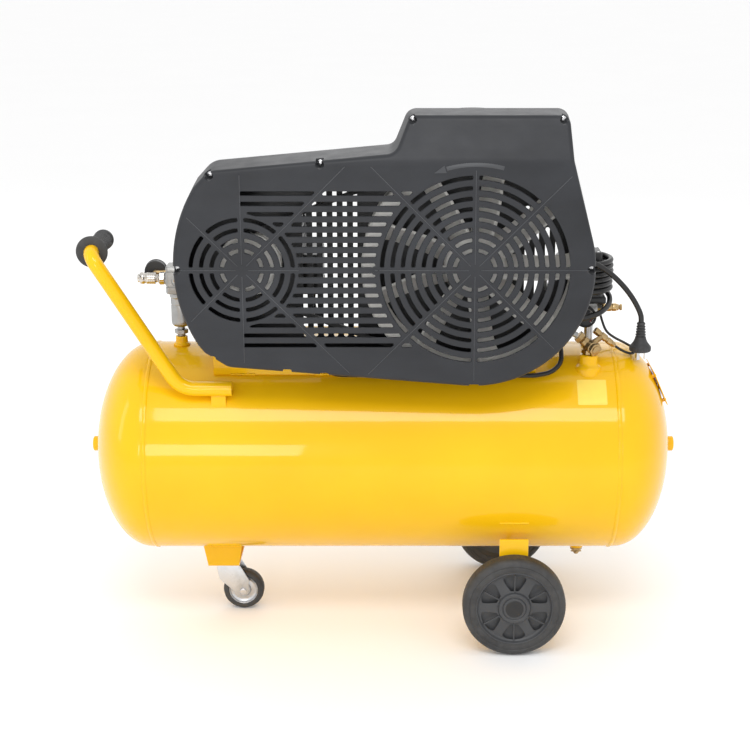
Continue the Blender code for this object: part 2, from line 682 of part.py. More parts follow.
def build_guard():
    outline = guard_outline()
    sections = [(GUARD_FRONT_Y, -0.0080), (GUARD_FRONT_Y + 0.0025, -0.0025), (GUARD_FRONT_Y + 0.0070, 0.0),
                (GUARD_BACK_Y, GUARD_DRAFT), (GUARD_BACK_Y, GUARD_DRAFT - GUARD_WALL),
                (GUARD_FRONT_Y + 0.0080, -GUARD_WALL), (GUARD_FRONT_Y + GUARD_WALL, -0.0090)]
    bm = bmesh.new()
    loops = []
    for y, distance in sections:
        loops.append([bm.verts.new((x, y, z)) for x, z in offset_outline(outline, distance)])
    for first, second in zip(loops, loops[1:]):
        for i in range(len(outline)):
            j = (i + 1) % len(outline)
            bm.faces.new((first[i], first[j], second[j], second[i]))
    bm.faces.new(loops[0])
    bm.faces.new(loops[-1])
    guard = add_object("guard_front", bm, "guard_plastic")
    slots = ring_slots(BIG_CENTRE, 0.0330, 8) + ring_slots(SMALL_CENTRE, 0.0324, 4) + row_slots()
    low = GUARD_FRONT_Y - 0.005
    high = GUARD_FRONT_Y + GUARD_WALL + 0.005
    cut(guard, prisms("slots", slots, low, high, "XZ", "guard_plastic"))


def build_guard_back():
    low = GUARD_BACK_Y + GAP
    back = prism("guard_rear", offset_outline(guard_outline(), GUARD_DRAFT - 0.0005), low,
                 low + GUARD_WALL, "XZ",
                 "black_plastic")
    openings = [arc((MOTOR_X, DRIVE_Z), 0.055, 0, 340, 17), arc((CRANK_X, DRIVE_Z), 0.060, 0, 340, 17)]
    slots = []
    for k in range(LEFT_SLOTS):
        slots.append((LEFT_SLOT_X + BACK_SLOT_PITCH * k, 0.550, min(0.810, 0.765 + 0.020 * k)))
    for k in range(RIGHT_SLOTS):
        reach = 0.090 - 0.018 * k
        slots.append((RIGHT_SLOT_X + BACK_SLOT_PITCH * k, DRIVE_Z - reach, DRIVE_Z + reach))
    half = BACK_SLOT / 2
    for x, bottom, top in slots:
        openings.append([(x - half, bottom), (x + half, bottom), (x + half, top), (x - half, top)])
    cut(back, prisms("openings", openings, low - 0.01, low + 0.02, "XZ", "black_plastic"))


# ---------------------------------------------------------------- drive
def build_flywheel():
    front, back = FLYWHEEL_Y
    middle = BELT_Y - front
    depth = back - front
    groove = BELT_R - 0.0006
    profile = [(0.160, 0), (FLYWHEEL_R - 0.001, 0), (FLYWHEEL_R, 0.001), (FLYWHEEL_R, middle - 0.0075),
               (groove, middle - 0.0050), (groove, middle + 0.0050), (FLYWHEEL_R, middle + 0.0075),
               (FLYWHEEL_R, depth - 0.001), (FLYWHEEL_R - 0.001, depth), (0.160, depth)]
    hub = [(SHAFT_R + 0.0005, 0.003), (0.030, 0.003), (0.034, 0.008), (0.050, 0.012),
           (0.050, depth - 0.003),
           (SHAFT_R + 0.0005, depth - 0.003)]
    bm = bmesh.new()
    turned_mesh(bm, profile, 36, True)
    turned_mesh(bm, hub, 18, True)
    at = (CRANK_X, front, DRIVE_Z)
    wheel = add_object("flywheel", bm, "cast_metal", at, (0, 1, 0))
    bm = bmesh.new()
    leading, trailing, thick = 0.016, -0.012, 0.0025
    for k in range(BLADES):
        turn = Matrix.Rotation(math.radians(360 * k / BLADES), 3, "Y")
        section = [(leading - thick, 0.004), (leading + thick, 0.004), (trailing + thick, depth - 0.004),
                   (trailing - thick, depth - 0.004)]
        ends = []
        for radius in (0.043, 0.164):
            ends.append([bm.verts.new(turn @ Vector((radius, y, -t))) for t, y in section])
        bm.faces.new(ends[0])
        bm.faces.new(ends[1][::-1])
        for i in range(4):
            j = (i + 1) % 4
            bm.faces.new((ends[0][i], ends[1][i], ends[1][j], ends[0][j]))
    join(wheel, add_object("blades", bm, "cast_metal", at))


def build_crankshaft():
    at = (CRANK_X, 0, DRIVE_Z)
    profile = [(0, -0.1905), (0.009, -0.1905), (0.0105, -0.1890), (0.0105, -0.1870), (SHAFT_R, -0.1870),
               (SHAFT_R, -0.0505), (0.045, -0.0505), (0.045, -0.0370), (0, -0.0370)]
    shaft = turned("crankshaft", profile, "zinc_steel", at, (0, 1, 0), 20)
    pin_z = DRIVE_Z + CRANK_THROW
    pin = rod("pin", (CRANK_X, -0.0400, pin_z), (CRANK_X, PISTON_Y - 0.0070, pin_z), 0.0095, "zinc_steel",
              12)
    join(shaft, pin)


def build_pulley():
    groove = PULLEY_BELT_R - 0.0006
    bore = 0.0095
    profile = [(bore, -0.0130), (0.0520, -0.0130), (0.0520, -0.0075), (groove, -0.0050), (groove, 0.0050),
               (0.0520, 0.0075), (0.0520, 0.0130), (0.0200, 0.0130), (0.0200, 0.0170), (bore, 0.0170)]
    turned("motor_pulley", profile, "cast_metal", (MOTOR_X, BELT_Y, DRIVE_Z), (0, 1, 0), 24)


def build_belt():
    """A V-belt round both pulleys, swept along two arcs and two straight runs."""
    span = CRANK_X - MOTOR_X
    big = BELT_R
    small = PULLEY_BELT_R
    tilt = math.degrees(math.acos((big - small) / span))
    path = []
    for centre_x, radius, start, end, steps in ((CRANK_X, big, 180 + tilt, 540 - tilt, 28),
                                                (MOTOR_X, small, 180 - tilt, 180 + tilt, 10)):
        for i in range(steps + 1):
            angle = math.radians(start + (end - start) * i / steps)
            path.append((centre_x, radius, angle))
    section = [(0.0, -0.0042), (0.0, 0.0042), (BELT_THICK, 0.0065), (BELT_THICK, -0.0065)]
    bm = bmesh.new()
    rings = []
    for centre_x, radius, angle in path:
        ring = []
        for out, y in section:
            reach = radius + out
            ring.append(bm.verts.new((centre_x + reach * math.cos(angle), BELT_Y + y,
                                      DRIVE_Z + reach * math.sin(angle))))
        rings.append(ring)
    for first, second in zip(rings, rings[1:] + rings[:1]):
        for i in range(4):
            j = (i + 1) % 4
            bm.faces.new((first[i], first[j], second[j], second[i]))
    add_object("drive_belt", bm, "black_rubber")


def build_motor():
    front = -0.095
    at = (MOTOR_X, 0, DRIVE_Z)
    radius = 0.082
    profile = [(0.0125, front), (0.030, front), (0.034, front + 0.006), (radius - 0.010, front + 0.008),
               (radius, front + 0.018), (radius, 0.105), (radius - 0.006, 0.112), (0.0125, 0.112)]
    body = turned("motor_body", profile, "black_iron", at, (0, 1, 0), 24)
    foot = box("foot", (MOTOR_X - 0.060, -0.070, PLATFORM_TOP + GAP),
               (MOTOR_X + 0.060, 0.080, PLATFORM_TOP + 0.008),
               "black_iron")
    web = box("web", (MOTOR_X - 0.045, -0.060, PLATFORM_TOP + 0.004),
              (MOTOR_X + 0.045, 0.070, DRIVE_Z - 0.060),
              "black_iron")
    terminal = box("terminal", (MOTOR_X + 0.060, -0.055, DRIVE_Z - 0.075),
                   (MOTOR_X + 0.112, 0.065, DRIVE_Z - 0.005),
                   "black_iron")
    join(body, join(foot, web), terminal)
    shaft = [(0, -0.1650), (0.0075, -0.1650), (0.0090, -0.1635), (0.0090, 0.1150), (0.0150, 0.1150),
             (0.0150, 0.1200), (0.0600, 0.1230), (0.0600, 0.1290), (0.0150, 0.1330), (0, 0.1330)]
    turned("motor_shaft", shaft, "zinc_steel", at, (0, 1, 0), 16)
    cover = [(radius - 0.0035, 0.1125), (radius, 0.1125), (radius, 0.1480), (radius - 0.010, 0.1560),
             (0.0300, 0.1560), (0.0300, 0.1530), (radius - 0.012, 0.1530), (radius - 0.0035, 0.1460)]
    turned("motor_fan_cover", cover, "black_plastic", at, (0, 1, 0), 24)


# ---------------------------------------------------------------- pump
def build_crankcase():
    x = CRANK_X
    floor = PLATFORM_TOP + GAP
    outline = rounded([(x - 0.075, floor, 0.002), (x + 0.075, floor, 0.002),
                       (x + 0.075, floor + 0.014, 0.004),
                       (x + 0.060, 0.600, 0.020), (x + 0.062, CASE_TOP, 0.012), (x - 0.062, CASE_TOP,
                                                                                 0.012),
                       (x - 0.060, 0.600, 0.020), (x - 0.075, floor + 0.014, 0.004)])
    case = prism("crankcase", outline, -0.080, 0.035, "XZ", "cast_metal")
    nose = rod("nose", (x, -0.100, DRIVE_Z), (x, -0.075, DRIVE_Z), 0.032, "cast_metal", 20)
    join(case, nose)
    chamber = rod("chamber", (x, -0.0560, DRIVE_Z), (x, 0.0170, DRIVE_Z), 0.0500, "cast_metal", 28)
    bore = rod("bore", (x, PISTON_Y, DRIVE_Z), (x, PISTON_Y, 0.80), PISTON_R + 0.0012, "cast_metal", 24)
    bearing = rod("bearing", (x, -0.2, DRIVE_Z), (x, -0.04, DRIVE_Z), SHAFT_R + 0.0007, "cast_metal", 20)
    cut(case, join(chamber, bore), bearing)


def build_cylinder():
    base = CASE_TOP + GAP
    height = CYLINDER_TOP - base
    bore = PISTON_R + 0.0006
    profile = [(bore, 0), (0.056, 0), (0.056, 0.008)]
    for k in range(4):
        z = 0.0145 + 0.0150 * k
        profile += [(0.044, z), (0.057, z + 0.0010), (0.057, z + 0.0035), (0.044, z + 0.0045)]
    profile += [(0.052, height - 0.006), (0.052, height), (bore, height)]
    turned("cylinder", profile, "black_iron", (CRANK_X, PISTON_Y, base), segments=18)


def build_cylinder_head():
    x = CRANK_X
    low = CYLINDER_TOP + GAP
    head = box("cylinder_head", (x - 0.054, PISTON_Y - 0.052, low),
               (x + 0.054, PISTON_Y + 0.052, HEAD_TOP), "alloy")
    fins = []
    for k in range(5):
        middle = x - 0.038 + 0.019 * k
        fins.append([(middle - 0.004, 0.853), (middle + 0.004, 0.853), (middle + 0.004, 0.88),
                     (middle - 0.004, 0.88)])
    front = PISTON_Y - 0.06
    cut(head, prisms("fins", fins, front, PISTON_Y - 0.034, "XZ", "alloy"),
        prisms("fins", fins, PISTON_Y + 0.034, PISTON_Y + 0.06, "XZ", "alloy"))
    port = rod("port", (x + 0.050, PISTON_Y, 0.850), (0.2127, PISTON_Y, 0.850), 0.0100, "alloy", 6)
    join(head, port)
    profile = [(0, 0), (0.012, 0), (0.012, 0.005), (0.033, 0.008), (0.034, 0.012), (0.034, 0.046),
               (0.030, 0.050),
               (0, 0.050)]
    turned("air_filter", profile, "black_plastic", (x, PISTON_Y, HEAD_TOP + GAP), segments=24)


def build_piston():
    wrist_z = DRIVE_Z + CRANK_THROW + ROD_LENGTH
    at = (CRANK_X, PISTON_Y, wrist_z)
    profile = [(0, 0.0120), (0.0250, 0.0120), (0.0260, -0.0180), (PISTON_R, -0.0180), (PISTON_R, 0.0290),
               (0, 0.0290)]
    piston = turned("piston", profile, "alloy", at, segments=24)
    wrist = rod("wrist", (CRANK_X, PISTON_Y - 0.027, wrist_z), (CRANK_X, PISTON_Y + 0.027, wrist_z), 0.0060,
                "zinc_steel", 12)
    join(piston, wrist)
    half = 0.0060
    low, high = PISTON_Y - half, PISTON_Y + half
    big_z = DRIVE_Z + CRANK_THROW
    outline = arc((CRANK_X, wrist_z), 0.0105, -40, 220, 9)
    outline += arc((CRANK_X, big_z), 0.0165, 130, 410, 10)
    rod_at = (CRANK_X, PISTON_Y, wrist_z)
    connecting_rod = prism("connecting_rod", outline, low, high, "XZ", "alloy", rod_at)
    eye = rod("eye", (CRANK_X, low - 0.01, big_z), (CRANK_X, high + 0.01, big_z), 0.0102, "alloy", 14)
    wrist_eye = rod("eye", (CRANK_X, low - 0.01, wrist_z), (CRANK_X, high + 0.01, wrist_z), 0.0066,
                    "alloy", 12)
    cut(connecting_rod, eye, wrist_eye)


# ---------------------------------------------------------------- pipework at the plug end
def build_check_valve():
    centre = Vector((VALVE_X, VALVE_Y, 0.5250))
    body = turned("check_valve", [(0, 0), (0.0120, 0), (0.0120, 0.0190), (0.0100, 0.0240), (0, 0.0240)],
                  "brass", (VALVE_X, VALVE_Y, VALVE_BASE_Z + GAP), segments=18)
    forward = Vector((0.52, -0.82, -0.22)).normalized()
    barrel = rod("barrel", centre - forward * 0.006, centre + forward * 0.016, 0.0112, "brass", 14)
    cap = rod("cap", centre + forward * 0.014, centre + forward * 0.022, 0.0125, "brass", 6)
    upward = Vector((-0.74, 0.02, 0.67)).normalized()
    port = rod("port", centre, centre + upward * 0.0225, 0.0092, "brass", 12)
    nut = rod("nut", centre + upward * 0.0180, centre + upward * 0.0265, 0.0105, "brass", 6)
    join(body, barrel, cap, port, nut)


def build_unloader():
    start = Vector((0.3685, -0.0550, 0.5465))
    end = Vector((0.3985, -0.0550, 0.5225))
    valve = rod("unloader_valve", start, end, 0.0065, "brass", 12)
    middle = start.lerp(end, 0.5)
    away = (end - start).normalized()
    neck = rod("neck", middle, Vector((VALVE_X, VALVE_Y, 0.5260)), 0.0050, "brass", 10)
    nut = rod("nut", end - away * 0.002, end + away * 0.0070, 0.0056, "brass", 6)
    join(valve, nut)
    body = bpy.data.objects["check_valve"]
    join(body, neck)
    cut(body, rod("clear", start - away * 0.01, end + away * 0.01, 0.0065 + 2 * GAP, "brass", 12))
    tube("unloader_tube", UNLOADER_ROUTE, 0.0045, "black_plastic", 2, 2.5)


def build_manifold():
    base = TANK_Z + TANK_R + 0.0006
    low, high = 0.5600, 0.5850
    turned("switch_post", [(0, 0), (0.0125, 0), (0.0125, 0.0040), (0.0080, 0.0060),
                           (0.0080, low - GAP - base),
                           (0, low - GAP - base)],
           "zinc_steel", (POST_X, 0, base), segments=16)
    block = box("manifold", (POST_X - 0.016, -0.014, low), (POST_X + 0.014, 0.014, high), "alloy")
    bevelled(block, 0.0015)
    axis_z = 0.5735
    side = rod("side", (POST_X + 0.010, 0, axis_z), (POST_X + 0.022, 0, axis_z), 0.0085, "alloy", 6)
    join(block, side)
    profile = [(0, 0), (0.0072, 0), (0.0072, 0.010), (0.0064, 0.011), (0.0064, 0.030), (0, 0.030)]
    start = POST_X + 0.022 + GAP
    turned("safety_valve", profile, "brass", (start, 0, axis_z), (1, 0, 0), 14)
    tip = [(0, 0), (0.0048, 0), (0.0056, 0.001), (0.0056, 0.0045), (0.0048, 0.0055), (0, 0.0055)]
    turned("safety_pull", tip, "brass", (start + 0.030 + GAP, 0, axis_z), (1, 0, 0), 12)
    gauge_y = -0.0145
    gauge = [(0, 0), (0.0045, 0), (0.0045, 0.010), (0.0180, 0.012), (0.0190, 0.014), (0.0190, 0.026),
             (0.0175, 0.028),
             (0, 0.028)]
    turned("switch_gauge", gauge, "black_plastic", (0.3540, gauge_y, 0.5655), (0, -1, 0), 20)


def build_switch():
    x, y = SWITCH_X, SWITCH_Y
    low = 0.5850 + GAP
    foot = box("pressure_switch", (x - 0.033, y - 0.031, low), (x + 0.036, y + 0.031, COIL_Z[0] - 0.0008),
               "black_plastic", (x, y, low))
    bevelled(foot, 0.002)
    cover = bevelled(box("cover", (x - 0.027, y - 0.027, COIL_Z[0] - 0.004),
                         (x + 0.027, y + 0.027, COIL_Z[1] + 0.004),
                         "black_plastic"), 0.003)
    gland = turned("gland", [(0, 0), (0.0056, 0), (0.0056, 0.006), (0.0052, 0.0220), (0, 0.0220)],
                   "black_plastic",
                   (x - 0.033, 0, 0.5910), (-1, 0, 0), 12)
    join(foot, cover, gland)
    top = COIL_Z[1] + 0.004 + GAP
    turned("switch_knob", [(0, 0), (0.0060, 0), (0.0060, 0.006), (0.0110, 0.008), (0.0110, 0.018),
                           (0.0095, 0.020),
                           (0, 0.020)],
           "black_plastic", (x, y, top), segments=16)


def build_power_cord():
    half = CORD_D / 2
    inner = COIL_R - half
    outer = COIL_R + half
    height = COIL_Z[1] - COIL_Z[0]
    turned("cord_coil", [(inner, 0), (outer, 0), (outer, height), (inner, height)], "cord_sheath",
           (SWITCH_X, SWITCH_Y, COIL_Z[0]), segments=32)
    tube("power_cord_start", CORD_START_ROUTE, CORD_D, "cord_sheath", 3)
    tube("power_cord_end", CORD_END_ROUTE, CORD_D, "cord_sheath", 3)
    disc_z = 0.5072
    height = PLUG_TOP - disc_z
    profile = [(0, 0), (0.0180, 0), (0.0190, 0.001), (0.0190, 0.0085), (0.0165, 0.0110), (0.0100, 0.0210),
               (0.0092, 0.0260), (0.0072, height), (0, height)]
    plug = turned("plug", profile, "black_rubber", (PLUG_X, PLUG_Y, disc_z), segments=20)
    for dx, dy, turn in ((-0.0040, -0.0060, 30), (-0.0040, 0.0060, -30), (0.0080, 0.0, 90)):
        pin = box("pin", (-0.0032, -0.0008, 0.4925), (0.0032, 0.0008, disc_z + 0.002), "brass")
        pin.data.transform(Matrix.Rotation(math.radians(turn), 4, "Z"))
        pin.location = (PLUG_X + dx, PLUG_Y + dy, 0)
        join(plug, pin)
    tube("motor_cable", MOTOR_CABLE_ROUTE, 0.0080, "cord_sheath", 2, 4.5)
    tube("delivery_pipe", DELIVERY_ROUTE, 0.0100, "alloy", 2, 2.0)


# ---------------------------------------------------------------- outlet at the handle end
def build_outlet():
    base = TANK_Z + TANK_R + 0.0009 + 0.0155 + GAP
    pipe = turned("outlet_pipe", [(0, 0), (0.0065, 0), (0.0065, 0.0180), (0.0145, 0.0200), (0.0165, 0.0240),
                                  (0.0165, 0.0725), (0.0180, 0.0730), (0.0180, 0.0790), (0, 0.0790)],
                  "alloy", (OUTLET_X, 0, base), segments=16)
    nut = rod("nut", (OUTLET_X, 0, base + 0.0045), (OUTLET_X, 0, base + 0.0125), 0.0120, "alloy", 6)
    join(pipe, nut)
    low = base + 0.0790 + GAP
    high = low + 0.0495
    half = 0.0215
    body = box("regulator_body", (OUTLET_X - half, -half, low), (OUTLET_X + half, half, high), "alloy")
    bevelled(body, 0.003)
    middle = (low + high) / 2
    boss = rod("boss", (OUTLET_X - half + 0.002, 0, middle), (OUTLET_X - half - 0.003, 0, middle), 0.0120,
               "alloy", 16)
    elbow = rod("elbow", (OUTLET_X - half + 0.002, 0.016, middle + 0.007),
                (-0.4020, 0.016, middle + 0.007), 0.0045,
                "alloy", 12)
    join(body, boss, elbow)
    knob_at = (OUTLET_X, half + GAP, middle)
    turned("regulator_knob", [(0, 0), (0.0150, 0), (0.0150, 0.006), (0.0180, 0.008), (0.0170, 0.036),
                              (0.0150, 0.038), (0, 0.038)],
           "black_plastic", knob_at, (0, 1, 0), 16)
    turned("regulator_gauge", [(0, 0), (0.0180, 0), (0.0200, 0.002), (0.0200, 0.014), (0.0185, 0.016),
                               (0, 0.016)],
           "black_plastic", (-0.4020, 0.0208, middle + 0.007), (0, 1, 0), 20)
    start = OUTLET_X - half - 0.003 - GAP
    at = (start, 0, middle)
    body = turned("coupler_body", [(0.0042, 0), (0.0105, 0), (0.0105, 0.010), (0.0075, 0.012),
                                   (0.0075, 0.048),
                                   (0.0042, 0.048)],
                  "nickel", at, (-1, 0, 0), 16)
    hex_nut = turned("hex", [(0.0060, 0.001), (0.0118, 0.001), (0.0118, 0.009), (0.0060, 0.009)], "nickel",
                     at,
                     (-1, 0, 0), 6)
    join(body, hex_nut)
    turned("coupler_sleeve", [(0.0080, 0.0160), (0.0100, 0.0160), (0.0105, 0.0180), (0.0105, 0.0300),
                              (0.0095, 0.0320), (0.0095, 0.0360), (0.0105, 0.0380), (0.0105, 0.0420),
                              (0.0098, 0.0440), (0.0080, 0.0440)],
           "nickel", at, (-1, 0, 0), 16)


def main():
    clear_scene()
    build_tank()
    build_sockets()
    build_running_gear()
    build_caster()
    build_platform()
    build_handle()
    build_guard()
    build_guard_back()
    build_flywheel()
    build_crankshaft()
    build_pulley()
    build_belt()
    build_motor()
    build_crankcase()
    build_cylinder()
    build_cylinder_head()
    build_piston()
    build_check_valve()
    build_unloader()
    build_manifold()
    build_switch()
    build_power_cord()
    build_outlet()


main()
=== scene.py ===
"""Looks of the belt-driven air compressor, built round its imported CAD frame.

Metres, +Z up, in the frame's own coordinates: +X along the receiver towards the plug
end, +Y away from the belt guard, z = 0 on the ground.
"""

import json
import math

import bmesh
import bpy
from mathutils import Matrix, Vector


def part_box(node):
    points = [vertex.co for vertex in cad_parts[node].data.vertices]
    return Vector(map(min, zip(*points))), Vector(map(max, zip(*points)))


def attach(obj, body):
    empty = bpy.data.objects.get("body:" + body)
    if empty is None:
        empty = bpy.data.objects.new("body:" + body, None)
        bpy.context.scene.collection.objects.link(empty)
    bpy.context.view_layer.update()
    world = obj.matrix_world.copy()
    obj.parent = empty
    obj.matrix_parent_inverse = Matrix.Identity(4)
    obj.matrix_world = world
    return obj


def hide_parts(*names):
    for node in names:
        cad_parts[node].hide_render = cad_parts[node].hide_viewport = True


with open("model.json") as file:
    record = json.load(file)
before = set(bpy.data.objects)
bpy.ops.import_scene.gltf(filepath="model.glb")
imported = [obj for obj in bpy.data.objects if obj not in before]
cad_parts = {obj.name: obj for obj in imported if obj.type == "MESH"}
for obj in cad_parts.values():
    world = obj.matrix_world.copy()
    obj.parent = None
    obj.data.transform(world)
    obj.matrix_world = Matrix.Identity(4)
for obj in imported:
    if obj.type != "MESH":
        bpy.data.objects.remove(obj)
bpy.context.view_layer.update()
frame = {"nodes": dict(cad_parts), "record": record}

# ---------------------------------------------------------------- sizes read from the frame
NODES = frame["nodes"]
X = Vector((1, 0, 0))
Y = Vector((0, 1, 0))
Z = Vector((0, 0, 1))


def low(node):
    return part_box(node)[0]


def high(node):
    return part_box(node)[1]


def middle(node):
    return (low(node) + high(node)) / 2


TANK_Z = middle("tank_shell").z
TANK_R = (high("tank_shell").z - low("tank_shell").z) / 2
SHELL_HALF = high("tank_shell").x
WHEEL_R = high("wheel_tyre_front").z / 2
CRANK = middle("flywheel")
MOTOR = middle("motor_pulley")

# ---------------------------------------------------------------- materials
MATERIALS = {}


class Nodes:
    """Short calls for building one material's node tree."""

    def __init__(self, name):
        self.mat = bpy.data.materials.new(name)
        self.mat.use_nodes = True
        self.tree = self.mat.node_tree
        self.shader = self.tree.nodes["Principled BSDF"]
        self.place = self.add("ShaderNodeTexCoord").outputs["Object"]

    def add(self, kind, **values):
        node = self.tree.nodes.new(kind)
        for key, value in values.items():
            setattr(node, key, value)
        return node

    def link(self, source, target):
        self.tree.links.new(source, target)

    def stretched(self, scale):
        """The object coordinates, scaled per axis."""
        node = self.add("ShaderNodeMapping")
        node.inputs["Scale"].default_value = scale
        self.link(self.place, node.inputs["Vector"])
        return node.outputs["Vector"]

    def noise(self, scale, detail=4.0, rough=0.5, place=None):
        node = self.add("ShaderNodeTexNoise")
        node.inputs["Scale"].default_value = scale
        node.inputs["Detail"].default_value = detail
        node.inputs["Roughness"].default_value = rough
        self.link(place or self.place, node.inputs["Vector"])
        return node.outputs["Fac"]

    def ramp(self, fac, stops):
        """Colours or grey values at places along a 0 to 1 input."""
        node = self.add("ShaderNodeValToRGB")
        elements = node.color_ramp.elements
        while len(elements) < len(stops):
            elements.new(0.5)
        for element, (place, value) in zip(elements, stops):
            element.position = place
            element.color = (*value, 1) if isinstance(value, tuple) else (value, value, value, 1)
        self.link(fac, node.inputs["Fac"])
        return node.outputs["Color"]

    def mix(self, fac, a, b, blend="MIX"):
        node = self.add("ShaderNodeMix", data_type="RGBA", blend_type=blend)
        for socket, value in ((node.inputs["Factor"], fac), (node.inputs[6], a), (node.inputs[7], b)):
            if isinstance(value, tuple):
                socket.default_value = (*value, 1)
            elif isinstance(value, (int, float)):
                socket.default_value = value
            else:
                self.link(value, socket)
        return node.outputs[2]

    def maths(self, operation, a, b):
        node = self.add("ShaderNodeMath", operation=operation)
        for socket, value in ((node.inputs[0], a), (node.inputs[1], b)):
            if isinstance(value, (int, float)):
                socket.default_value = value
            else:
                self.link(value, socket)
        return node.outputs[0]

    def bump(self, height, strength, distance, below=None):
        node = self.add("ShaderNodeBump")
        node.inputs["Strength"].default_value = strength
        node.inputs["Distance"].default_value = distance
        self.link(height, node.inputs["Height"])
        if below:
            self.link(below, node.inputs["Normal"])
        self.link(node.outputs["Normal"], self.shader.inputs["Normal"])
        return node.outputs["Normal"]

    def roughness(self, noise, spread, least):
        """Roughness between least and least + spread, following a noise."""
        self.set(Roughness=self.maths("ADD", self.maths("MULTIPLY", noise, spread), least))

    def set(self, **values):
        for key, value in values.items():
            socket = self.shader.inputs[key.replace("_", " ")]
            if isinstance(value, (int, float)):
                socket.default_value = value
            else:
                self.link(value, socket)


def dusted(nodes, colour, dust, amount):
    """Cloudy patches of dust or fading over a base colour."""
    patches = nodes.ramp(nodes.noise(9.0, 6.0, 0.62), [(0.42, 0.0), (0.78, amount)])
    return nodes.mix(patches, colour, dust)


def yellow_paint():
    """Gloss enamel with orange peel, faint fading and fine scratches."""
    n = Nodes("tank_yellow_paint")
    tone = n.ramp(n.noise(3.2, 5.0, 0.55), [(0.35, (0.84, 0.465, 0.003)), (0.65, (0.91, 0.52, 0.006))])
    scuffs = n.ramp(n.noise(40.0, 8.0, 0.72, n.stretched((0.6, 2.0, 2.0))), [(0.66, 0.0), (0.74, 0.28)])
    n.set(Base_Color=n.mix(scuffs, tone, (0.90, 0.58, 0.06)))
    n.roughness(n.noise(24.0, 6.0), 0.14, 0.16)
    peel = n.bump(n.noise(420.0, 2.0), 0.10, 0.0006)
    n.bump(n.noise(14.0, 3.0), 0.05, 0.002, peel)
    n.set(Coat_Weight=0.45, Coat_Roughness=0.03, IOR=1.5, Specular_IOR_Level=0.12)
    return n.mat


def moulded_plastic(name, colour, lighter, rough, grain=900.0, grain_depth=0.00025, dust=0.10, shine=0.5):
    """Injection-moulded plastic: fine grain, flow marks, scuffs."""
    n = Nodes(name)
    flow = n.ramp(n.noise(5.0, 6.0, 0.6, n.stretched((1.0, 0.3, 2.4))), [(0.35, colour), (0.70, lighter)])
    faded = dusted(n, flow, tuple(min(1.0, c * 1.6 + 0.02) for c in lighter), dust)
    scratches = n.ramp(n.noise(60.0, 9.0, 0.75, n.stretched((0.35, 1.0, 3.0))), [(0.69, 0.0), (0.73, 0.35)])
    n.set(Base_Color=n.mix(scratches, faded, tuple(min(1.0, c * 2.2 + 0.02) for c in lighter)))
    n.roughness(n.noise(30.0, 6.0, 0.65), 0.24, rough - 0.12)
    n.bump(n.noise(grain, 2.0, 0.5), 0.35, grain_depth)
    n.set(IOR=1.5, Specular_IOR_Level=shine)
    return n.mat


def rubber(name, colour=(0.024, 0.024, 0.025), rough=0.62):
    n = Nodes(name)
    base = n.ramp(n.noise(70.0, 5.0, 0.6), [(0.35, colour), (0.75, tuple(c * 2.0 for c in colour))])
    n.set(Base_Color=dusted(n, base, (0.10, 0.095, 0.085), 0.35))
    n.roughness(n.noise(45.0, 5.0), 0.25, rough - 0.12)
    n.bump(n.noise(700.0, 3.0, 0.6), 0.4, 0.0003)
    return n.mat


def bare_metal(name, colour, dark, rough, grain, depth, stain=0.25):
    """Plated, turned or sawn metal with stains and fine grain."""
    n = Nodes(name)
    base = n.ramp(n.noise(18.0, 6.0, 0.65), [(0.30, dark), (0.62, colour)])
    stains = n.ramp(n.noise(55.0, 8.0, 0.7), [(0.56, 0.0), (0.74, stain)])
    n.set(Base_Color=n.mix(stains, base, tuple(c * 0.45 for c in dark)))
    fine = n.noise(grain, 4.0, 0.6)
    n.roughness(fine, 0.22, rough - 0.11)
    n.bump(fine, 0.3, depth)
    n.set(Metallic=1.0)
    return n.mat


def cast_surface(name, colour, dark, rough, metallic, depth=0.0012):
    """Sand-cast skin: coarse pits and cloudy tone."""
    n = Nodes(name)
    base = n.ramp(n.noise(22.0, 6.0, 0.6), [(0.32, dark), (0.66, colour)])
    n.set(Base_Color=dusted(n, base, tuple(min(1.0, c * 1.35 + 0.03) for c in colour), 0.35))
    n.roughness(n.noise(90.0, 5.0), 0.25, rough - 0.12)
    pits = n.bump(n.noise(330.0, 5.0, 0.65), 0.45, depth * 0.5)
    n.bump(n.noise(60.0, 3.0), 0.20, depth, pits)
    n.set(Metallic=metallic)
    return n.mat


def plain_face(name, colour, rough=0.4):
    n = Nodes(name)
    lighter = tuple(min(1.0, c * 1.06 + 0.004) for c in colour)
    n.set(Base_Color=n.ramp(n.noise(60.0, 4.0), [(0.35, colour), (0.7, lighter)]))
    n.roughness(n.noise(80.0, 4.0), 0.12, rough - 0.06)
    n.bump(n.noise(600.0, 2.0), 0.12, 0.0002)
    return n.mat


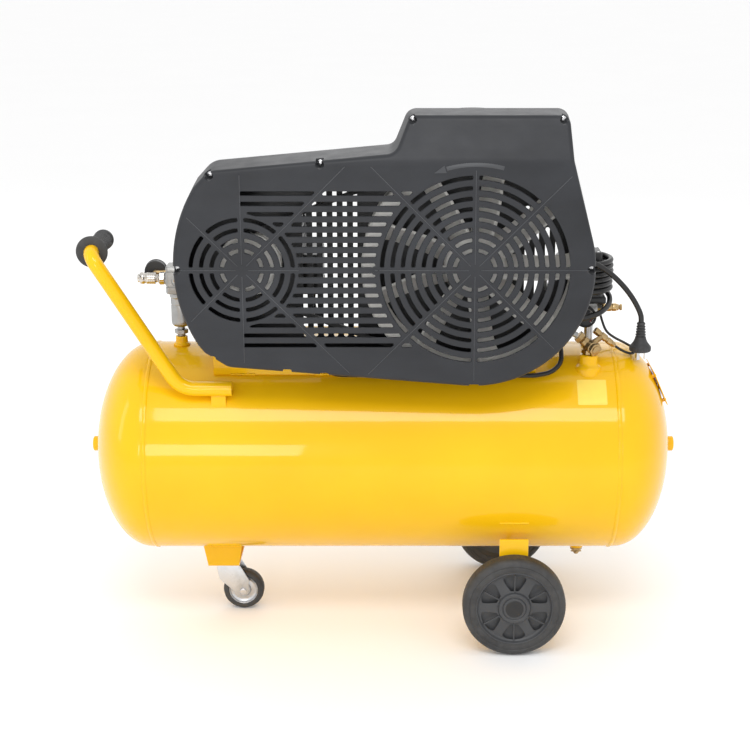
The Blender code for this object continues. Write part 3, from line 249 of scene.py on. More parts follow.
def make_materials():
    M = MATERIALS
    M["tank_yellow"] = yellow_paint()
    M["guard_plastic"] = moulded_plastic("guard_moulding", (0.021, 0.022, 0.025), (0.030, 0.032, 0.037),
            0.46, shine=0.28)
    # Lighter than guard_plastic: a painted highlight on the raised arrow and ridges, which are moulded from
    # the guard's own plastic.
    M["guard_relief_painted_highlight"] = moulded_plastic("guard_relief_painted_highlight", (0.040, 0.042, 0.047), (0.055, 0.058, 0.064), 0.40)
    M["black_plastic"] = moulded_plastic("black_moulding", (0.008, 0.008, 0.009), (0.016, 0.016, 0.017),
            0.38)
    M["grey_plastic"] = moulded_plastic("wheel_moulding", (0.036, 0.037, 0.040), (0.056, 0.058, 0.062),
            0.46, 1100.0, 0.0003, 0.22)
    M["black_rubber"] = rubber("tyre_and_grip_rubber")
    M["belt_rubber"] = rubber("belt_rubber", (0.012, 0.012, 0.013), 0.55)
    M["cast_metal"] = cast_surface("cast_machined", (0.62, 0.59, 0.54), (0.42, 0.39, 0.35), 0.36, 1.0,
            0.0006)
    # Near-white and barely metallic: partly the flywheel's own pale paint, partly painted light that
    # brightens the flywheel and pulley shaded inside the guard.
    M["pale_paint_and_painted_light"] = cast_surface("flywheel_pale_paint_and_painted_light", (0.88, 0.86, 0.82), (0.74, 0.72, 0.68), 0.42, 0.10,
            0.0006)
    M["cast_grey"] = cast_surface("cast_crankcase", (0.30, 0.29, 0.27), (0.20, 0.19, 0.18), 0.55, 0.75)
    M["black_iron"] = cast_surface("black_enamel_iron", (0.035, 0.035, 0.037), (0.018, 0.018, 0.019), 0.46,
            0.1)
    M["motor_alloy"] = cast_surface("motor_enamel", (0.040, 0.041, 0.044), (0.024, 0.024, 0.026), 0.42,
            0.15, 0.0008)
    M["alloy"] = cast_surface("die_cast_alloy", (0.40, 0.40, 0.39), (0.27, 0.27, 0.27), 0.36, 1.0, 0.0004)
    M["zinc_steel"] = bare_metal("zinc_plate", (0.68, 0.69, 0.71), (0.46, 0.47, 0.48), 0.32, 200.0, 0.0002)
    M["nickel"] = bare_metal("nickel_plate", (0.66, 0.63, 0.58), (0.52, 0.49, 0.45), 0.24, 420.0, 0.00005,
            stain=0.12)
    M["brass"] = bare_metal("brass", (0.56, 0.40, 0.20), (0.36, 0.25, 0.12), 0.29, 380.0, 0.0001,
            stain=0.40)
    M["cord_sheath"] = moulded_plastic("cord_sheath", (0.006, 0.006, 0.0065), (0.012, 0.012, 0.0125), 0.36,
            1400.0, 0.0002, 0.08)
    M["dial_white"] = plain_face("dial_face", (0.82, 0.82, 0.80))
    M["dial_mark"] = plain_face("dial_marks", (0.02, 0.02, 0.022))
    M["dial_red"] = plain_face("dial_needle", (0.55, 0.02, 0.015))
    M["label_yellow"] = plain_face("label_yellow", (0.93, 0.66, 0.09), 0.34)
    M["screw_steel"] = bare_metal("screw_steel", (0.75, 0.75, 0.76), (0.50, 0.50, 0.51), 0.24, 500.0,
            0.0001)


def as_piece(name, bm, mat, body="frame", replaces=(), angle=32, bevel=0.0):
    """Turn a bmesh in frame coordinates into a piece that rides on a body."""
    bmesh.ops.remove_doubles(bm, verts=bm.verts, dist=2e-6)
    bmesh.ops.recalc_face_normals(bm, faces=bm.faces)
    mesh = bpy.data.meshes.new(name)
    bm.to_mesh(mesh)
    bm.free()
    mesh.materials.append(MATERIALS[mat])
    mesh.shade_smooth()
    mesh.set_sharp_from_angle(angle=math.radians(angle))
    obj = bpy.data.objects.new(name, mesh)
    bpy.context.scene.collection.objects.link(obj)
    if bevel > 0:
        modifier = obj.modifiers.new("edges", "BEVEL")
        modifier.width = bevel
        modifier.segments = 2
        modifier.limit_method = "ANGLE"
        modifier.angle_limit = math.radians(angle)
        modifier.harden_normals = True
    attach(obj, body)
    if replaces:
        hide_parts(*replaces)
    return obj


def frame_of(origin, direction):
    """A matrix whose local +Z points along direction from origin."""
    turn = Vector(direction).normalized().to_track_quat("Z", "Y").to_matrix().to_4x4()
    return Matrix.Translation(Vector(origin)) @ turn


def add_turned(bm, profile, at, along, segments, shape=None):
    """Revolve (radius, height) points; shape(angle, radius, height) may change a radius."""
    matrix = frame_of(at, along)
    rings = []
    for radius, height in profile:
        if radius < 1e-9:
            rings.append([bm.verts.new(matrix @ Vector((0, 0, height)))])
            continue
        ring = []
        for i in range(segments):
            angle = 2 * math.pi * i / segments
            r = shape(angle, radius, height) if shape else radius
            ring.append(bm.verts.new(matrix @ Vector((r * math.cos(angle), r * math.sin(angle), height))))
        rings.append(ring)
    pairs = list(zip(rings, rings[1:]))
    if profile[0][0] > 1e-9:
        pairs.append((rings[-1], rings[0]))
    for first, second in pairs:
        if len(first) == len(second) == 1:
            continue
        for i in range(segments):
            j = (i + 1) % segments
            if len(first) == 1:
                bm.faces.new((first[0], second[j], second[i]))
            elif len(second) == 1:
                bm.faces.new((first[i], first[j], second[0]))
            else:
                bm.faces.new((first[i], first[j], second[j], second[i]))
    return bm


def rounded_profile(points, radius, steps=3):
    """Round the inner corners of an open (radius, height) profile."""
    result = [points[0]]
    for before, here, after in zip(points, points[1:], points[2:]):
        a = Vector(before) - Vector(here)
        b = Vector(after) - Vector(here)
        reach = min(radius, a.length * 0.45, b.length * 0.45)
        if reach < 5e-5 or a.angle(b) > 3.0:
            result.append(here)
            continue
        start = Vector(here) + a.normalized() * reach
        end = Vector(here) + b.normalized() * reach
        for k in range(steps + 1):
            t = k / steps
            point = start * (1 - t) ** 2 + Vector(here) * 2 * t * (1 - t) + end * t ** 2
            result.append((max(0.0, point.x), point.y))
    result.append(points[-1])
    return result


def add_round(bm, profile, fillet, *place, **more):
    """Revolve a profile with its inner corners rounded."""
    return add_turned(bm, rounded_profile(profile, fillet), *place, **more)


def add_rod(bm, start, end, radius, segments=32, fillet=0.0006):
    start = Vector(start)
    axis = Vector(end) - start
    profile = [(0, 0), (radius, 0), (radius, axis.length), (0, axis.length)]
    return add_turned(bm, rounded_profile(profile, fillet) if fillet else profile, start, axis, segments)


def add_box(bm, corner, opposite, bevel=0.0, steps=2, turn=None):
    """A block between two corners, with rounded edges, turned about its middle."""
    made = bmesh.ops.create_cube(bm, size=1.0)["verts"]
    size = Vector(opposite) - Vector(corner)
    centre = (Vector(opposite) + Vector(corner)) / 2
    for vert in made:
        vert.co = Vector(a * b for a, b in zip(vert.co, size))
    if bevel:
        edges = list(dict.fromkeys(e for v in made for e in v.link_edges))
        made = bmesh.ops.bevel(bm, geom=edges, offset=bevel, segments=steps, affect="EDGES",
                profile=0.5)["verts"]
    for vert in set(made):
        vert.co = centre + (turn @ vert.co if turn else vert.co)
    return bm


PLANES = {
    "XZ": (X, Z, Y),
    "XY": (X, Y, Z),
    "YZ": (Y, Z, X),
}


def add_loft(bm, outlines, plane):
    """Join closed outlines, given as (points, depth) pairs, into one capped solid."""
    u, v, w = PLANES[plane]
    loops = []
    for outline, depth in outlines:
        loops.append([bm.verts.new(u * a + v * b + w * depth) for a, b in outline])
    for first, second in zip(loops, loops[1:]):
        for i in range(len(first)):
            j = (i + 1) % len(first)
            bm.faces.new((first[i], second[i], second[j], first[j]))
    bm.faces.new(loops[0])
    bm.faces.new(loops[-1][::-1])
    return bm


def add_prism(bm, outline, near, far, plane, bevel=0.0):
    """Extrude an outline, with a small rounding at both ends."""
    if not bevel:
        return add_loft(bm, [(outline, near), (outline, far)], plane)
    small = offset_outline(outline, -bevel)
    tiny = offset_outline(outline, -bevel * 0.3)
    return add_loft(bm, [(small, near), (tiny, near + bevel * 0.3), (outline, near + bevel),
            (outline, far - bevel), (tiny, far - bevel * 0.3), (small, far)], plane)


def arc(centre, radius, start, end, steps):
    """Points on an arc between two angles in degrees, both ends included."""
    points = []
    for i in range(steps + 1):
        angle = math.radians(start + (end - start) * i / steps)
        points.append((centre[0] + radius * math.cos(angle), centre[1] + radius * math.sin(angle)))
    return points


def rounded(corners, step_deg=9):
    """Replace each (a, b, radius) corner of a closed outline by an arc."""
    points = []
    count = len(corners)
    for i, (a, b, radius) in enumerate(corners):
        corner = Vector((a, b))
        before = Vector(corners[i - 1][:2]) - corner
        after = Vector(corners[(i + 1) % count][:2]) - corner
        half = before.angle(after) / 2
        room = min(before.length, after.length) * 0.49 * math.tan(half)
        radius = min(radius, room)
        if radius <= 1e-6:
            points.append(corner.to_tuple())
            continue
        before.normalize()
        after.normalize()
        centre = corner + (before + after).normalized() * (radius / math.sin(half))
        start = corner + before * (radius / math.tan(half)) - centre
        turn = math.pi - 2 * half
        side = 1 if before.x * after.y - before.y * after.x < 0 else -1
        steps = max(1, round(math.degrees(turn) / step_deg))
        for k in range(steps + 1):
            spun = start.copy()
            spun.rotate(Matrix.Rotation(side * turn * k / steps, 2))
            points.append((centre + spun).to_tuple())
    return points


def rectangle(left, low_edge, right, high_edge, radius, step_deg=9):
    """A counter-clockwise rectangle with rounded corners."""
    return rounded([(left, low_edge, radius), (right, low_edge, radius), (right, high_edge, radius),
            (left, high_edge, radius)], step_deg)


def offset_outline(outline, distance):
    """Move a counter-clockwise outline outwards by distance."""
    moved = []
    count = len(outline)
    for i in range(count):
        here = Vector(outline[i])
        before = (here - Vector(outline[i - 1])).normalized()
        after = (Vector(outline[(i + 1) % count]) - here).normalized()
        normal = Vector((before.y + after.y, -before.x - after.x)).normalized()
        stretch = 1 / max(0.5, normal.dot(Vector((after.y, -after.x))))
        moved.append((here + normal * distance * stretch).to_tuple())
    return moved


def boolean(target_bm, tool_bm, operation="DIFFERENCE"):
    """Combine two bmeshes and return the result as a new bmesh."""
    objects = []
    for bm in (target_bm, tool_bm):
        bmesh.ops.recalc_face_normals(bm, faces=bm.faces)
        mesh = bpy.data.meshes.new("boolean")
        bm.to_mesh(mesh)
        bm.free()
        obj = bpy.data.objects.new("boolean", mesh)
        bpy.context.scene.collection.objects.link(obj)
        objects.append(obj)
    target, tool = objects
    modifier = target.modifiers.new("combine", "BOOLEAN")
    modifier.operation = operation
    modifier.solver = "EXACT"
    modifier.object = tool
    bpy.context.view_layer.update()
    evaluated = target.evaluated_get(bpy.context.evaluated_depsgraph_get())
    result = bmesh.new()
    result.from_mesh(evaluated.to_mesh())
    for obj in objects:
        mesh = obj.data
        bpy.data.objects.remove(obj)
        bpy.data.meshes.remove(mesh)
    return result


def smooth_path(route, spacing):
    """Evenly spaced points on a smooth curve through a route's points."""
    points = [Vector(p) for p in route]
    padded = [2 * points[0] - points[1]] + points + [2 * points[-1] - points[-2]]
    dense = []
    for p0, p1, p2, p3 in zip(padded, padded[1:], padded[2:], padded[3:]):
        for k in range(24):
            t = k / 24
            dense.append(0.5 * (2 * p1 + (p2 - p0) * t + (2 * p0 - 5 * p1 + 4 * p2 - p3) * t ** 2
                    + (3 * p1 - p0 - 3 * p2 + p3) * t ** 3))
    dense.append(points[-1])
    travelled = [0.0]
    for a, b in zip(dense, dense[1:]):
        travelled.append(travelled[-1] + (b - a).length)
    steps = max(2, round(travelled[-1] / spacing))
    path = []
    k = 0
    for i in range(steps + 1):
        goal = travelled[-1] * i / steps
        while k < len(dense) - 2 and travelled[k + 1] < goal:
            k += 1
        part = (goal - travelled[k]) / max(1e-9, travelled[k + 1] - travelled[k])
        path.append(dense[k].lerp(dense[k + 1], min(1.0, part)))
    return path


def add_tube(bm, path, radius, sides, inner=0.0):
    """Sweep a round section, hollow where inner is given, along a path."""
    normal = Vector((0.31, 0.17, 0.93))
    layers = [radius, inner] if inner else [radius]
    loops = []
    for i, point in enumerate(path):
        tangent = (path[min(i + 1, len(path) - 1)] - path[max(i - 1, 0)]).normalized()
        normal = (normal - tangent * normal.dot(tangent)).normalized()
        side = tangent.cross(normal)
        loop = []
        for r in layers:
            ring = []
            for k in range(sides):
                angle = 2 * math.pi * k / sides
                around = math.cos(angle) * normal + math.sin(angle) * side
                ring.append(bm.verts.new(point + r * around))
            loop.append(ring)
        loops.append(loop)
    for first, second in zip(loops, loops[1:]):
        for layer in range(len(layers)):
            for k in range(sides):
                j = (k + 1) % sides
                bm.faces.new((first[layer][k], first[layer][j], second[layer][j], second[layer][k]))
    for end in (loops[0], loops[-1]):
        if inner:
            for k in range(sides):
                j = (k + 1) % sides
                bm.faces.new((end[0][k], end[0][j], end[1][j], end[1][k]))
        else:
            bm.faces.new(end[0])
    return bm


BEND_STEP = 6                     # degrees between the rings of a bend


def bent_path(corners, bends):
    """Straight runs joined by round bends."""
    points = [Vector(corners[0])]
    for i, bend in enumerate(bends, start=1):
        corner = Vector(corners[i])
        before = (Vector(corners[i - 1]) - corner).normalized()
        after = (Vector(corners[i + 1]) - corner).normalized()
        half = before.angle(after) / 2
        centre = corner + (before + after).normalized() * (bend / math.sin(half))
        start = corner + before * (bend / math.tan(half)) - centre
        turn = math.pi - 2 * half
        axis = before.cross(after)
        steps = max(3, round(math.degrees(turn) / BEND_STEP))
        for k in range(steps + 1):
            points.append(centre + Matrix.Rotation(-turn * k / steps, 3, axis) @ start)
    points.append(Vector(corners[-1]))
    return points


# ---------------------------------------------------------------- cords and pipes
CORD_D = 0.0095
COIL_CENTRE = (0.355, 0.005)      # also the pressure switch's centre line
COIL_R = 0.045
COIL_Z = (0.597, 0.672)
COIL_START = 20.0                 # degrees round the coil's axis where the turns begin
COIL_TURNS = 6.65                 # whole length of the coil, in turns
COIL_LEAVES = 2310.0              # degrees where the last turn starts to ease outwards
POINTS_PER_TURN = 24
CORD_START_ROUTE = [
    (0.2996, 0.0000, 0.5910), (0.2870, 0.0000, 0.5910), (0.2680, -0.0035, 0.5885),
    (0.2500, -0.0170, 0.5840), (0.2430, -0.0385, 0.5780), (0.2500, -0.0600, 0.5720),
    (0.2680, -0.0750, 0.5680), (0.2900, -0.0790, 0.5660), (0.3200, -0.0740, 0.5665),
    (0.3500, -0.0630, 0.5695), (0.3740, -0.0490, 0.5735), (0.3900, -0.0290, 0.5790),
    (0.3980, -0.0110, 0.5845), (0.4000, 0.0040, 0.5915),
]
CORD_END_ROUTE = [
    (0.3500, -0.0500, 0.6670), (0.3640, -0.0503, 0.6630), (0.3800, -0.0503, 0.6545),
    (0.3990, -0.0500, 0.6400), (0.4175, -0.0500, 0.6215), (0.4325, -0.0500, 0.6020),
    (0.4430, -0.0500, 0.5840), (0.4487, -0.0500, 0.5700), (0.4495, -0.0500, 0.5594),
]
MOTOR_CABLE_ROUTE = [
    (0.3215, 0.0180, 0.5910), (0.3110, 0.0180, 0.5910), (0.2960, 0.0070, 0.5800),
    (0.2980, -0.0230, 0.5560), (0.3080, -0.0550, 0.5260), (0.3080, -0.0860, 0.4990),
    (0.2920, -0.1010, 0.4850), (0.2700, -0.1060, 0.4800), (0.2480, -0.1075, 0.4790),
    (0.1500, -0.1070, 0.4800), (0.0500, -0.1070, 0.4800), (-0.0600, -0.1070, 0.4800),
    (-0.0900, -0.1070, 0.4860), (-0.1040, -0.1070, 0.5080), (-0.1040, -0.1000, 0.5400),
    (-0.1090, -0.0650, 0.5640), (-0.1200, -0.0320, 0.5860), (-0.1200, -0.0300, 0.6085),
]
DELIVERY_ROUTE = [
    (0.2136, -0.0200, 0.8500), (0.2350, -0.0200, 0.8500), (0.2600, -0.0470, 0.8230),
    (0.2680, -0.0830, 0.7450), (0.2740, -0.0940, 0.6500), (0.2900, -0.0950, 0.5850),
    (0.3130, -0.0870, 0.5560), (0.3345, -0.0820, 0.5440),
]
UNLOADER_ROUTE = [
    (0.4045, -0.0550, 0.5178), (0.4160, -0.0540, 0.5100), (0.4300, -0.0500, 0.5030),
    (0.4400, -0.0400, 0.5010), (0.4440, -0.0270, 0.5020), (0.4400, -0.0150, 0.5050),
    (0.4270, -0.0060, 0.5110), (0.4100, -0.0010, 0.5190), (0.3970, 0.0050, 0.5290),
    (0.3900, 0.0150, 0.5450), (0.3845, 0.0260, 0.5680), (0.3840, 0.0270, 0.5848),
]


def coil_points():
    """The wound turns: counter-clockwise from above, rising, then easing out to the front."""
    points = []
    count = round(COIL_TURNS * POINTS_PER_TURN)
    clear = CORD_D / 2 + 0.0004
    bottom = COIL_Z[0] + clear
    top = COIL_Z[1] - clear
    for i in range(count + 1):
        turns = i / POINTS_PER_TURN
        share = i / count
        angle = COIL_START + 360 * turns
        entry = -0.0060 * math.exp(-turns / 0.15)
        eased = max(0.0, (angle - COIL_LEAVES) / (COIL_START + 360 * COIL_TURNS - COIL_LEAVES))
        uneven = 0.0007 * math.sin(1.7 * turns + 0.6) * math.sin(math.pi * share)
        radius = COIL_R + uneven + 0.0098 * eased
        a = math.radians(angle)
        points.append((COIL_CENTRE[0] + radius * math.cos(a), COIL_CENTRE[1] + radius * math.sin(a),
                bottom + (top - bottom) * share + entry))
    return points


def power_cord_path():
    return smooth_path(CORD_START_ROUTE + coil_points() + CORD_END_ROUTE, CORD_D * 0.55)


def cord_piece(name, path, radius, mat, replaces, sides=16):
    return as_piece(name, add_tube(bmesh.new(), path, radius, sides), mat, replaces=replaces, angle=60)


def make_plug():
    """A moulded rewirable-type plug: ribbed relief, cone, grip disc and three flat pins."""
    node_low = low("plug")
    centre = middle("plug")
    top = high("plug").z
    disc = node_low.z + 0.0147
    height = top - disc
    profile = [(0, 0), (0.0172, 0), (0.0188, 0.0012), (0.0190, 0.0045), (0.0187, 0.0085), (0.0168, 0.0106),
            (0.0128, 0.0158), (0.0101, 0.0212), (0.0093, 0.0258)]
    ribs = 5
    step = (height - 0.0258 - 0.0020) / ribs
    for k in range(ribs):
        z = 0.0258 + step * k
        r = 0.0091 - 0.0004 * k
        profile += [(r - 0.0017, z + step * 0.12), (r - 0.0017, z + step * 0.42), (r, z + step * 0.52),
                (r, z + step * 0.95)]
    profile += [(0.0066, height - 0.0012), (0.0056, height), (0, height)]

    def grip(angle, radius, z):
        return radius - (0.0006 * (0.5 + 0.5 * math.cos(22 * angle)) if 0.0012 < z < 0.0090 else 0.0)

    body = as_piece("plug_moulding", add_round(bmesh.new(), profile, 0.0007, (centre.x, centre.y, disc), Z,
            88, grip), "black_rubber", replaces=("plug",))
    bm = bmesh.new()
    for dx, dy, turn in ((-0.0040, -0.0060, 30), (-0.0040, 0.0060, -30), (0.0080, 0.0, 90)):
        spin = Matrix.Rotation(math.radians(turn), 3, "Z")
        add_box(bm, (centre.x + dx - 0.0032, centre.y + dy - 0.0008, node_low.z),
                (centre.x + dx + 0.0032, centre.y + dy + 0.0008, disc + 0.002), 0.0003, 2, spin)
    pins = as_piece("plug_pins", bm, "screw_steel")
    return body, pins


def make_cords():
    path = power_cord_path()
    cord = cord_piece("power_cord", path, CORD_D / 2, "cord_sheath", ("power_cord_start", "power_cord_end",
            "cord_coil"))
    plug, pins = make_plug()
    cord_piece("motor_lead", smooth_path(MOTOR_CABLE_ROUTE, 0.006), 0.0040, "cord_sheath", ("motor_cable",))
    cord_piece("delivery_tube", smooth_path(DELIVERY_ROUTE, 0.005), 0.0050, "alloy", ("delivery_pipe",), 20)
    cord_piece("unloader_line", smooth_path(UNLOADER_ROUTE, 0.003), 0.00225, "black_plastic",
            ("unloader_tube",), 12)


# ---------------------------------------------------------------- receiver
def weld_ripple(seed):
    """Radius change along a weld bead: overlapping ripples with a little drift."""
    def shape(angle, radius, height):
        ripple = 0.00022 * math.sin(190 * angle + seed) + 0.00015 * math.sin(23 * angle + 2 * seed)
        return radius + ripple
    return shape


def add_bead(bm, at, along, radius, width, rise, seed):
    """A ring-shaped weld bead lying on a round surface of that radius."""
    profile = [(radius - 0.0006, -width / 2)]
    for k in range(1, 6):
        t = k / 6
        profile.append((radius + rise * math.sin(math.pi * t), -width / 2 + width * t))
    profile.append((radius - 0.0006, width / 2))
    ripple = weld_ripple(seed)

    def shape(angle, r, h):
        return r if abs(abs(h) - width / 2) < 1e-9 else ripple(angle, r, h)

    add_turned(bm, profile, at, along, 260, shape)


def make_tank():
    wall = 0.0025
    shell_end = SHELL_HALF
    outer = TANK_R
    profile = [(outer - wall, -shell_end), (outer - 0.0006, -shell_end), (outer, -shell_end + 0.0008),
            (outer, shell_end - 0.0008), (outer - 0.0006, shell_end), (outer - wall, shell_end)]
    bm = bmesh.new()
    add_turned(bm, profile, (0, 0, TANK_Z), X, 160)
    as_piece("receiver_shell", bm, "tank_yellow", replaces=("tank_shell",))
    start = shell_end + 0.0003
    knuckle = start + 0.0085
    crown = knuckle + 0.098
    boss_r = 0.0135
    tip = high("tank_head_right").x
    for name, side in (("right", 1), ("left", -1)):
        profile = [(outer - wall, start), (outer - 0.0006, start), (outer, start + 0.0008)]
        for k in range(25):
            a = math.radians(86.0 * k / 24)
            profile.append((outer * math.cos(a), knuckle + (crown - knuckle) * math.sin(a)))
        profile += [(0, crown), (0, crown - wall)]
        for k in range(12, -1, -1):
            a = math.radians(80.0 * k / 12)
            profile.append(((outer - wall) * math.cos(a), knuckle + (crown - knuckle - wall) * math.sin(a)))
        as_piece("receiver_head_" + name, add_turned(bmesh.new(), profile, (0, 0, TANK_Z), X * side, 160),
                "tank_yellow", replaces=("tank_head_" + name,), angle=50)
        boss = [(0, crown - 0.002), (boss_r, crown - 0.002), (boss_r, tip - 0.0016), (boss_r - 0.0016, tip),
                (0.0085, tip), (0.0078, tip - 0.0008), (0.0078, tip - 0.0050), (0.0066, tip - 0.0062),
                (0, tip - 0.0062)]
        as_piece("end_boss_" + name, add_round(bmesh.new(), boss, 0.0008, (0, 0, TANK_Z), X * side, 48),
                "tank_yellow")
        bead = [(boss_r - 0.001, crown + 0.0032), (boss_r + 0.0012, crown + 0.0024),
                (boss_r + 0.0030, crown), (boss_r + 0.0036, crown - 0.0016),
                (boss_r - 0.001, crown - 0.0024)]
        as_piece("boss_weld_" + name, add_turned(bmesh.new(), bead, (0, 0, TANK_Z), X * side, 96,
                weld_ripple(side)), "tank_yellow", angle=70)
        bm = bmesh.new()
        add_bead(bm, (side * (shell_end + 0.0002), 0, TANK_Z), X * side, outer, 0.0085, 0.0014, side)
        as_piece("girth_weld_" + name, bm, "tank_yellow", angle=80)
    make_seam(outer)
    make_tank_plates(outer)


def make_seam(outer):
    """The shell's long seam, on its lower rear side."""
    bm = bmesh.new()
    angle = math.radians(-52)
    steps = 300
    rows = []
    for i in range(steps + 1):
        x = -SHELL_HALF + 0.006 + (2 * SHELL_HALF - 0.012) * i / steps
        ripple = 0.0002 * math.sin(2.1 * i) + 0.0001 * math.sin(0.31 * i)
        row = []
        for k in range(6):
            t = k / 5
            across = (t - 0.5) * 0.0065
            rise = -0.0004 if k in (0, 5) else 0.0012 * math.sin(math.pi * t) + ripple
            a = angle + across / outer
            row.append(bm.verts.new((x, (outer + rise) * math.cos(a),
                    TANK_Z + (outer + rise) * math.sin(a))))
        rows.append(row)
    for first, second in zip(rows, rows[1:]):
        for k in range(6):
            j = (k + 1) % 6
            bm.faces.new((first[k], first[j], second[j], second[k]))
    bm.faces.new(rows[0])
    bm.faces.new(rows[-1][::-1])
    as_piece("long_seam_weld", bm, "tank_yellow", angle=80)


def add_wrapped_plate(bm, x_middle, angle_deg, width, height, radius, thick):
    """A thin sheet following the receiver: width along X, height round it."""
    outline = rectangle(-width / 2, -height / 2, width / 2, height / 2, 0.002, 30)
    cells = 16
    rings = []
    for r in (radius, radius + thick):
        ring = []
        for a, b in outline:
            turn = math.radians(angle_deg) + b / radius
            ring.append(bm.verts.new((x_middle + a, -r * math.cos(turn), TANK_Z + r * math.sin(turn))))
        rings.append(ring)
    count = len(outline)
    for i in range(count):
        j = (i + 1) % count
        bm.faces.new((rings[0][i], rings[0][j], rings[1][j], rings[1][i]))
    for ring in rings:
        bm.faces.new(ring)
    bmesh.ops.remove_doubles(bm, verts=bm.verts, dist=1e-6)
    for k in range(1, cells):
        turn = math.radians(angle_deg) + (k / cells - 0.5) * height / radius
        normal = Vector((0, math.sin(turn), math.cos(turn)))
        geometry = bm.verts[:] + bm.edges[:] + bm.faces[:]
        bmesh.ops.bisect_plane(bm, geom=geometry, plane_co=(0, 0, TANK_Z), plane_no=normal)
    for vert in bm.verts:
        flat = Vector((0, vert.co.y, vert.co.z - TANK_Z))
        near = radius if flat.length < radius + thick / 2 else radius + thick
        flat = flat.normalized() * near
        vert.co.y = flat.y
        vert.co.z = flat.z + TANK_Z


def make_tank_plates(outer):
    bm = bmesh.new()
    add_wrapped_plate(bm, 0.359, 46.9, 0.050, 0.050, outer + 0.00015, 0.00025)
    as_piece("blank_label", bm, "label_yellow", angle=40)
    top = Vector((0.4770, 0, 0.4660))
    foot = Vector((0.5030, 0, 0.4070))
    down = (foot - top)
    middle_point = (top + foot) / 2
    out = Vector((-down.z, 0, down.x)).normalized()
    if out.x < 0:
        out = -out
    turn = Matrix((out, Y, down.normalized())).transposed()
    as_piece("data_plate", add_box(bmesh.new(), middle_point - Vector((0.0009, 0.046, down.length / 2)),
            middle_point + Vector((0.0009, 0.046, down.length / 2)), 0.0006, 2, turn), "tank_yellow",
            angle=40)
    bm = bmesh.new()
    for y in (-0.036, 0.036):
        for z in (-0.024, 0.024):
            spot = middle_point + turn @ Vector((0, y, z))
            add_rod(bm, spot, spot + out * 0.0021, 0.0019, 20)
            add_rod(bm, spot - out * 0.0105, spot, 0.0032, 20)
    as_piece("data_plate_rivets", bm, "tank_yellow")


OUTLET_X = -0.357                 # centre line of the outlet fittings


def make_sockets():
    base = TANK_Z + TANK_R
    profile = [(0.0072, -0.001), (0.0138, -0.001), (0.0150, 0.0012), (0.0146, 0.0034), (0.0108, 0.0056),
            (0.0105, 0.0162), (0.0098, 0.0166), (0.0072, 0.0166)]
    as_piece("outlet_boss", add_round(bmesh.new(), profile, 0.0012, (OUTLET_X, 0, base), Z, 48),
            "tank_yellow", replaces=("outlet_socket",))
    top = high("valve_socket").z
    low_z = TANK_Z + 0.150
    profile = [(0, 0), (0.0225, 0), (0.0225, 0.0175), (0.0160, 0.0225), (0.0155, top - low_z - 0.0015),
            (0.0143, top - low_z), (0, top - low_z)]
    as_piece("valve_boss", add_turned(bmesh.new(), rounded_profile(profile, 0.0030, 5),
            (0.3565, -0.080, low_z), Z, 56), "tank_yellow", replaces=("valve_socket",))


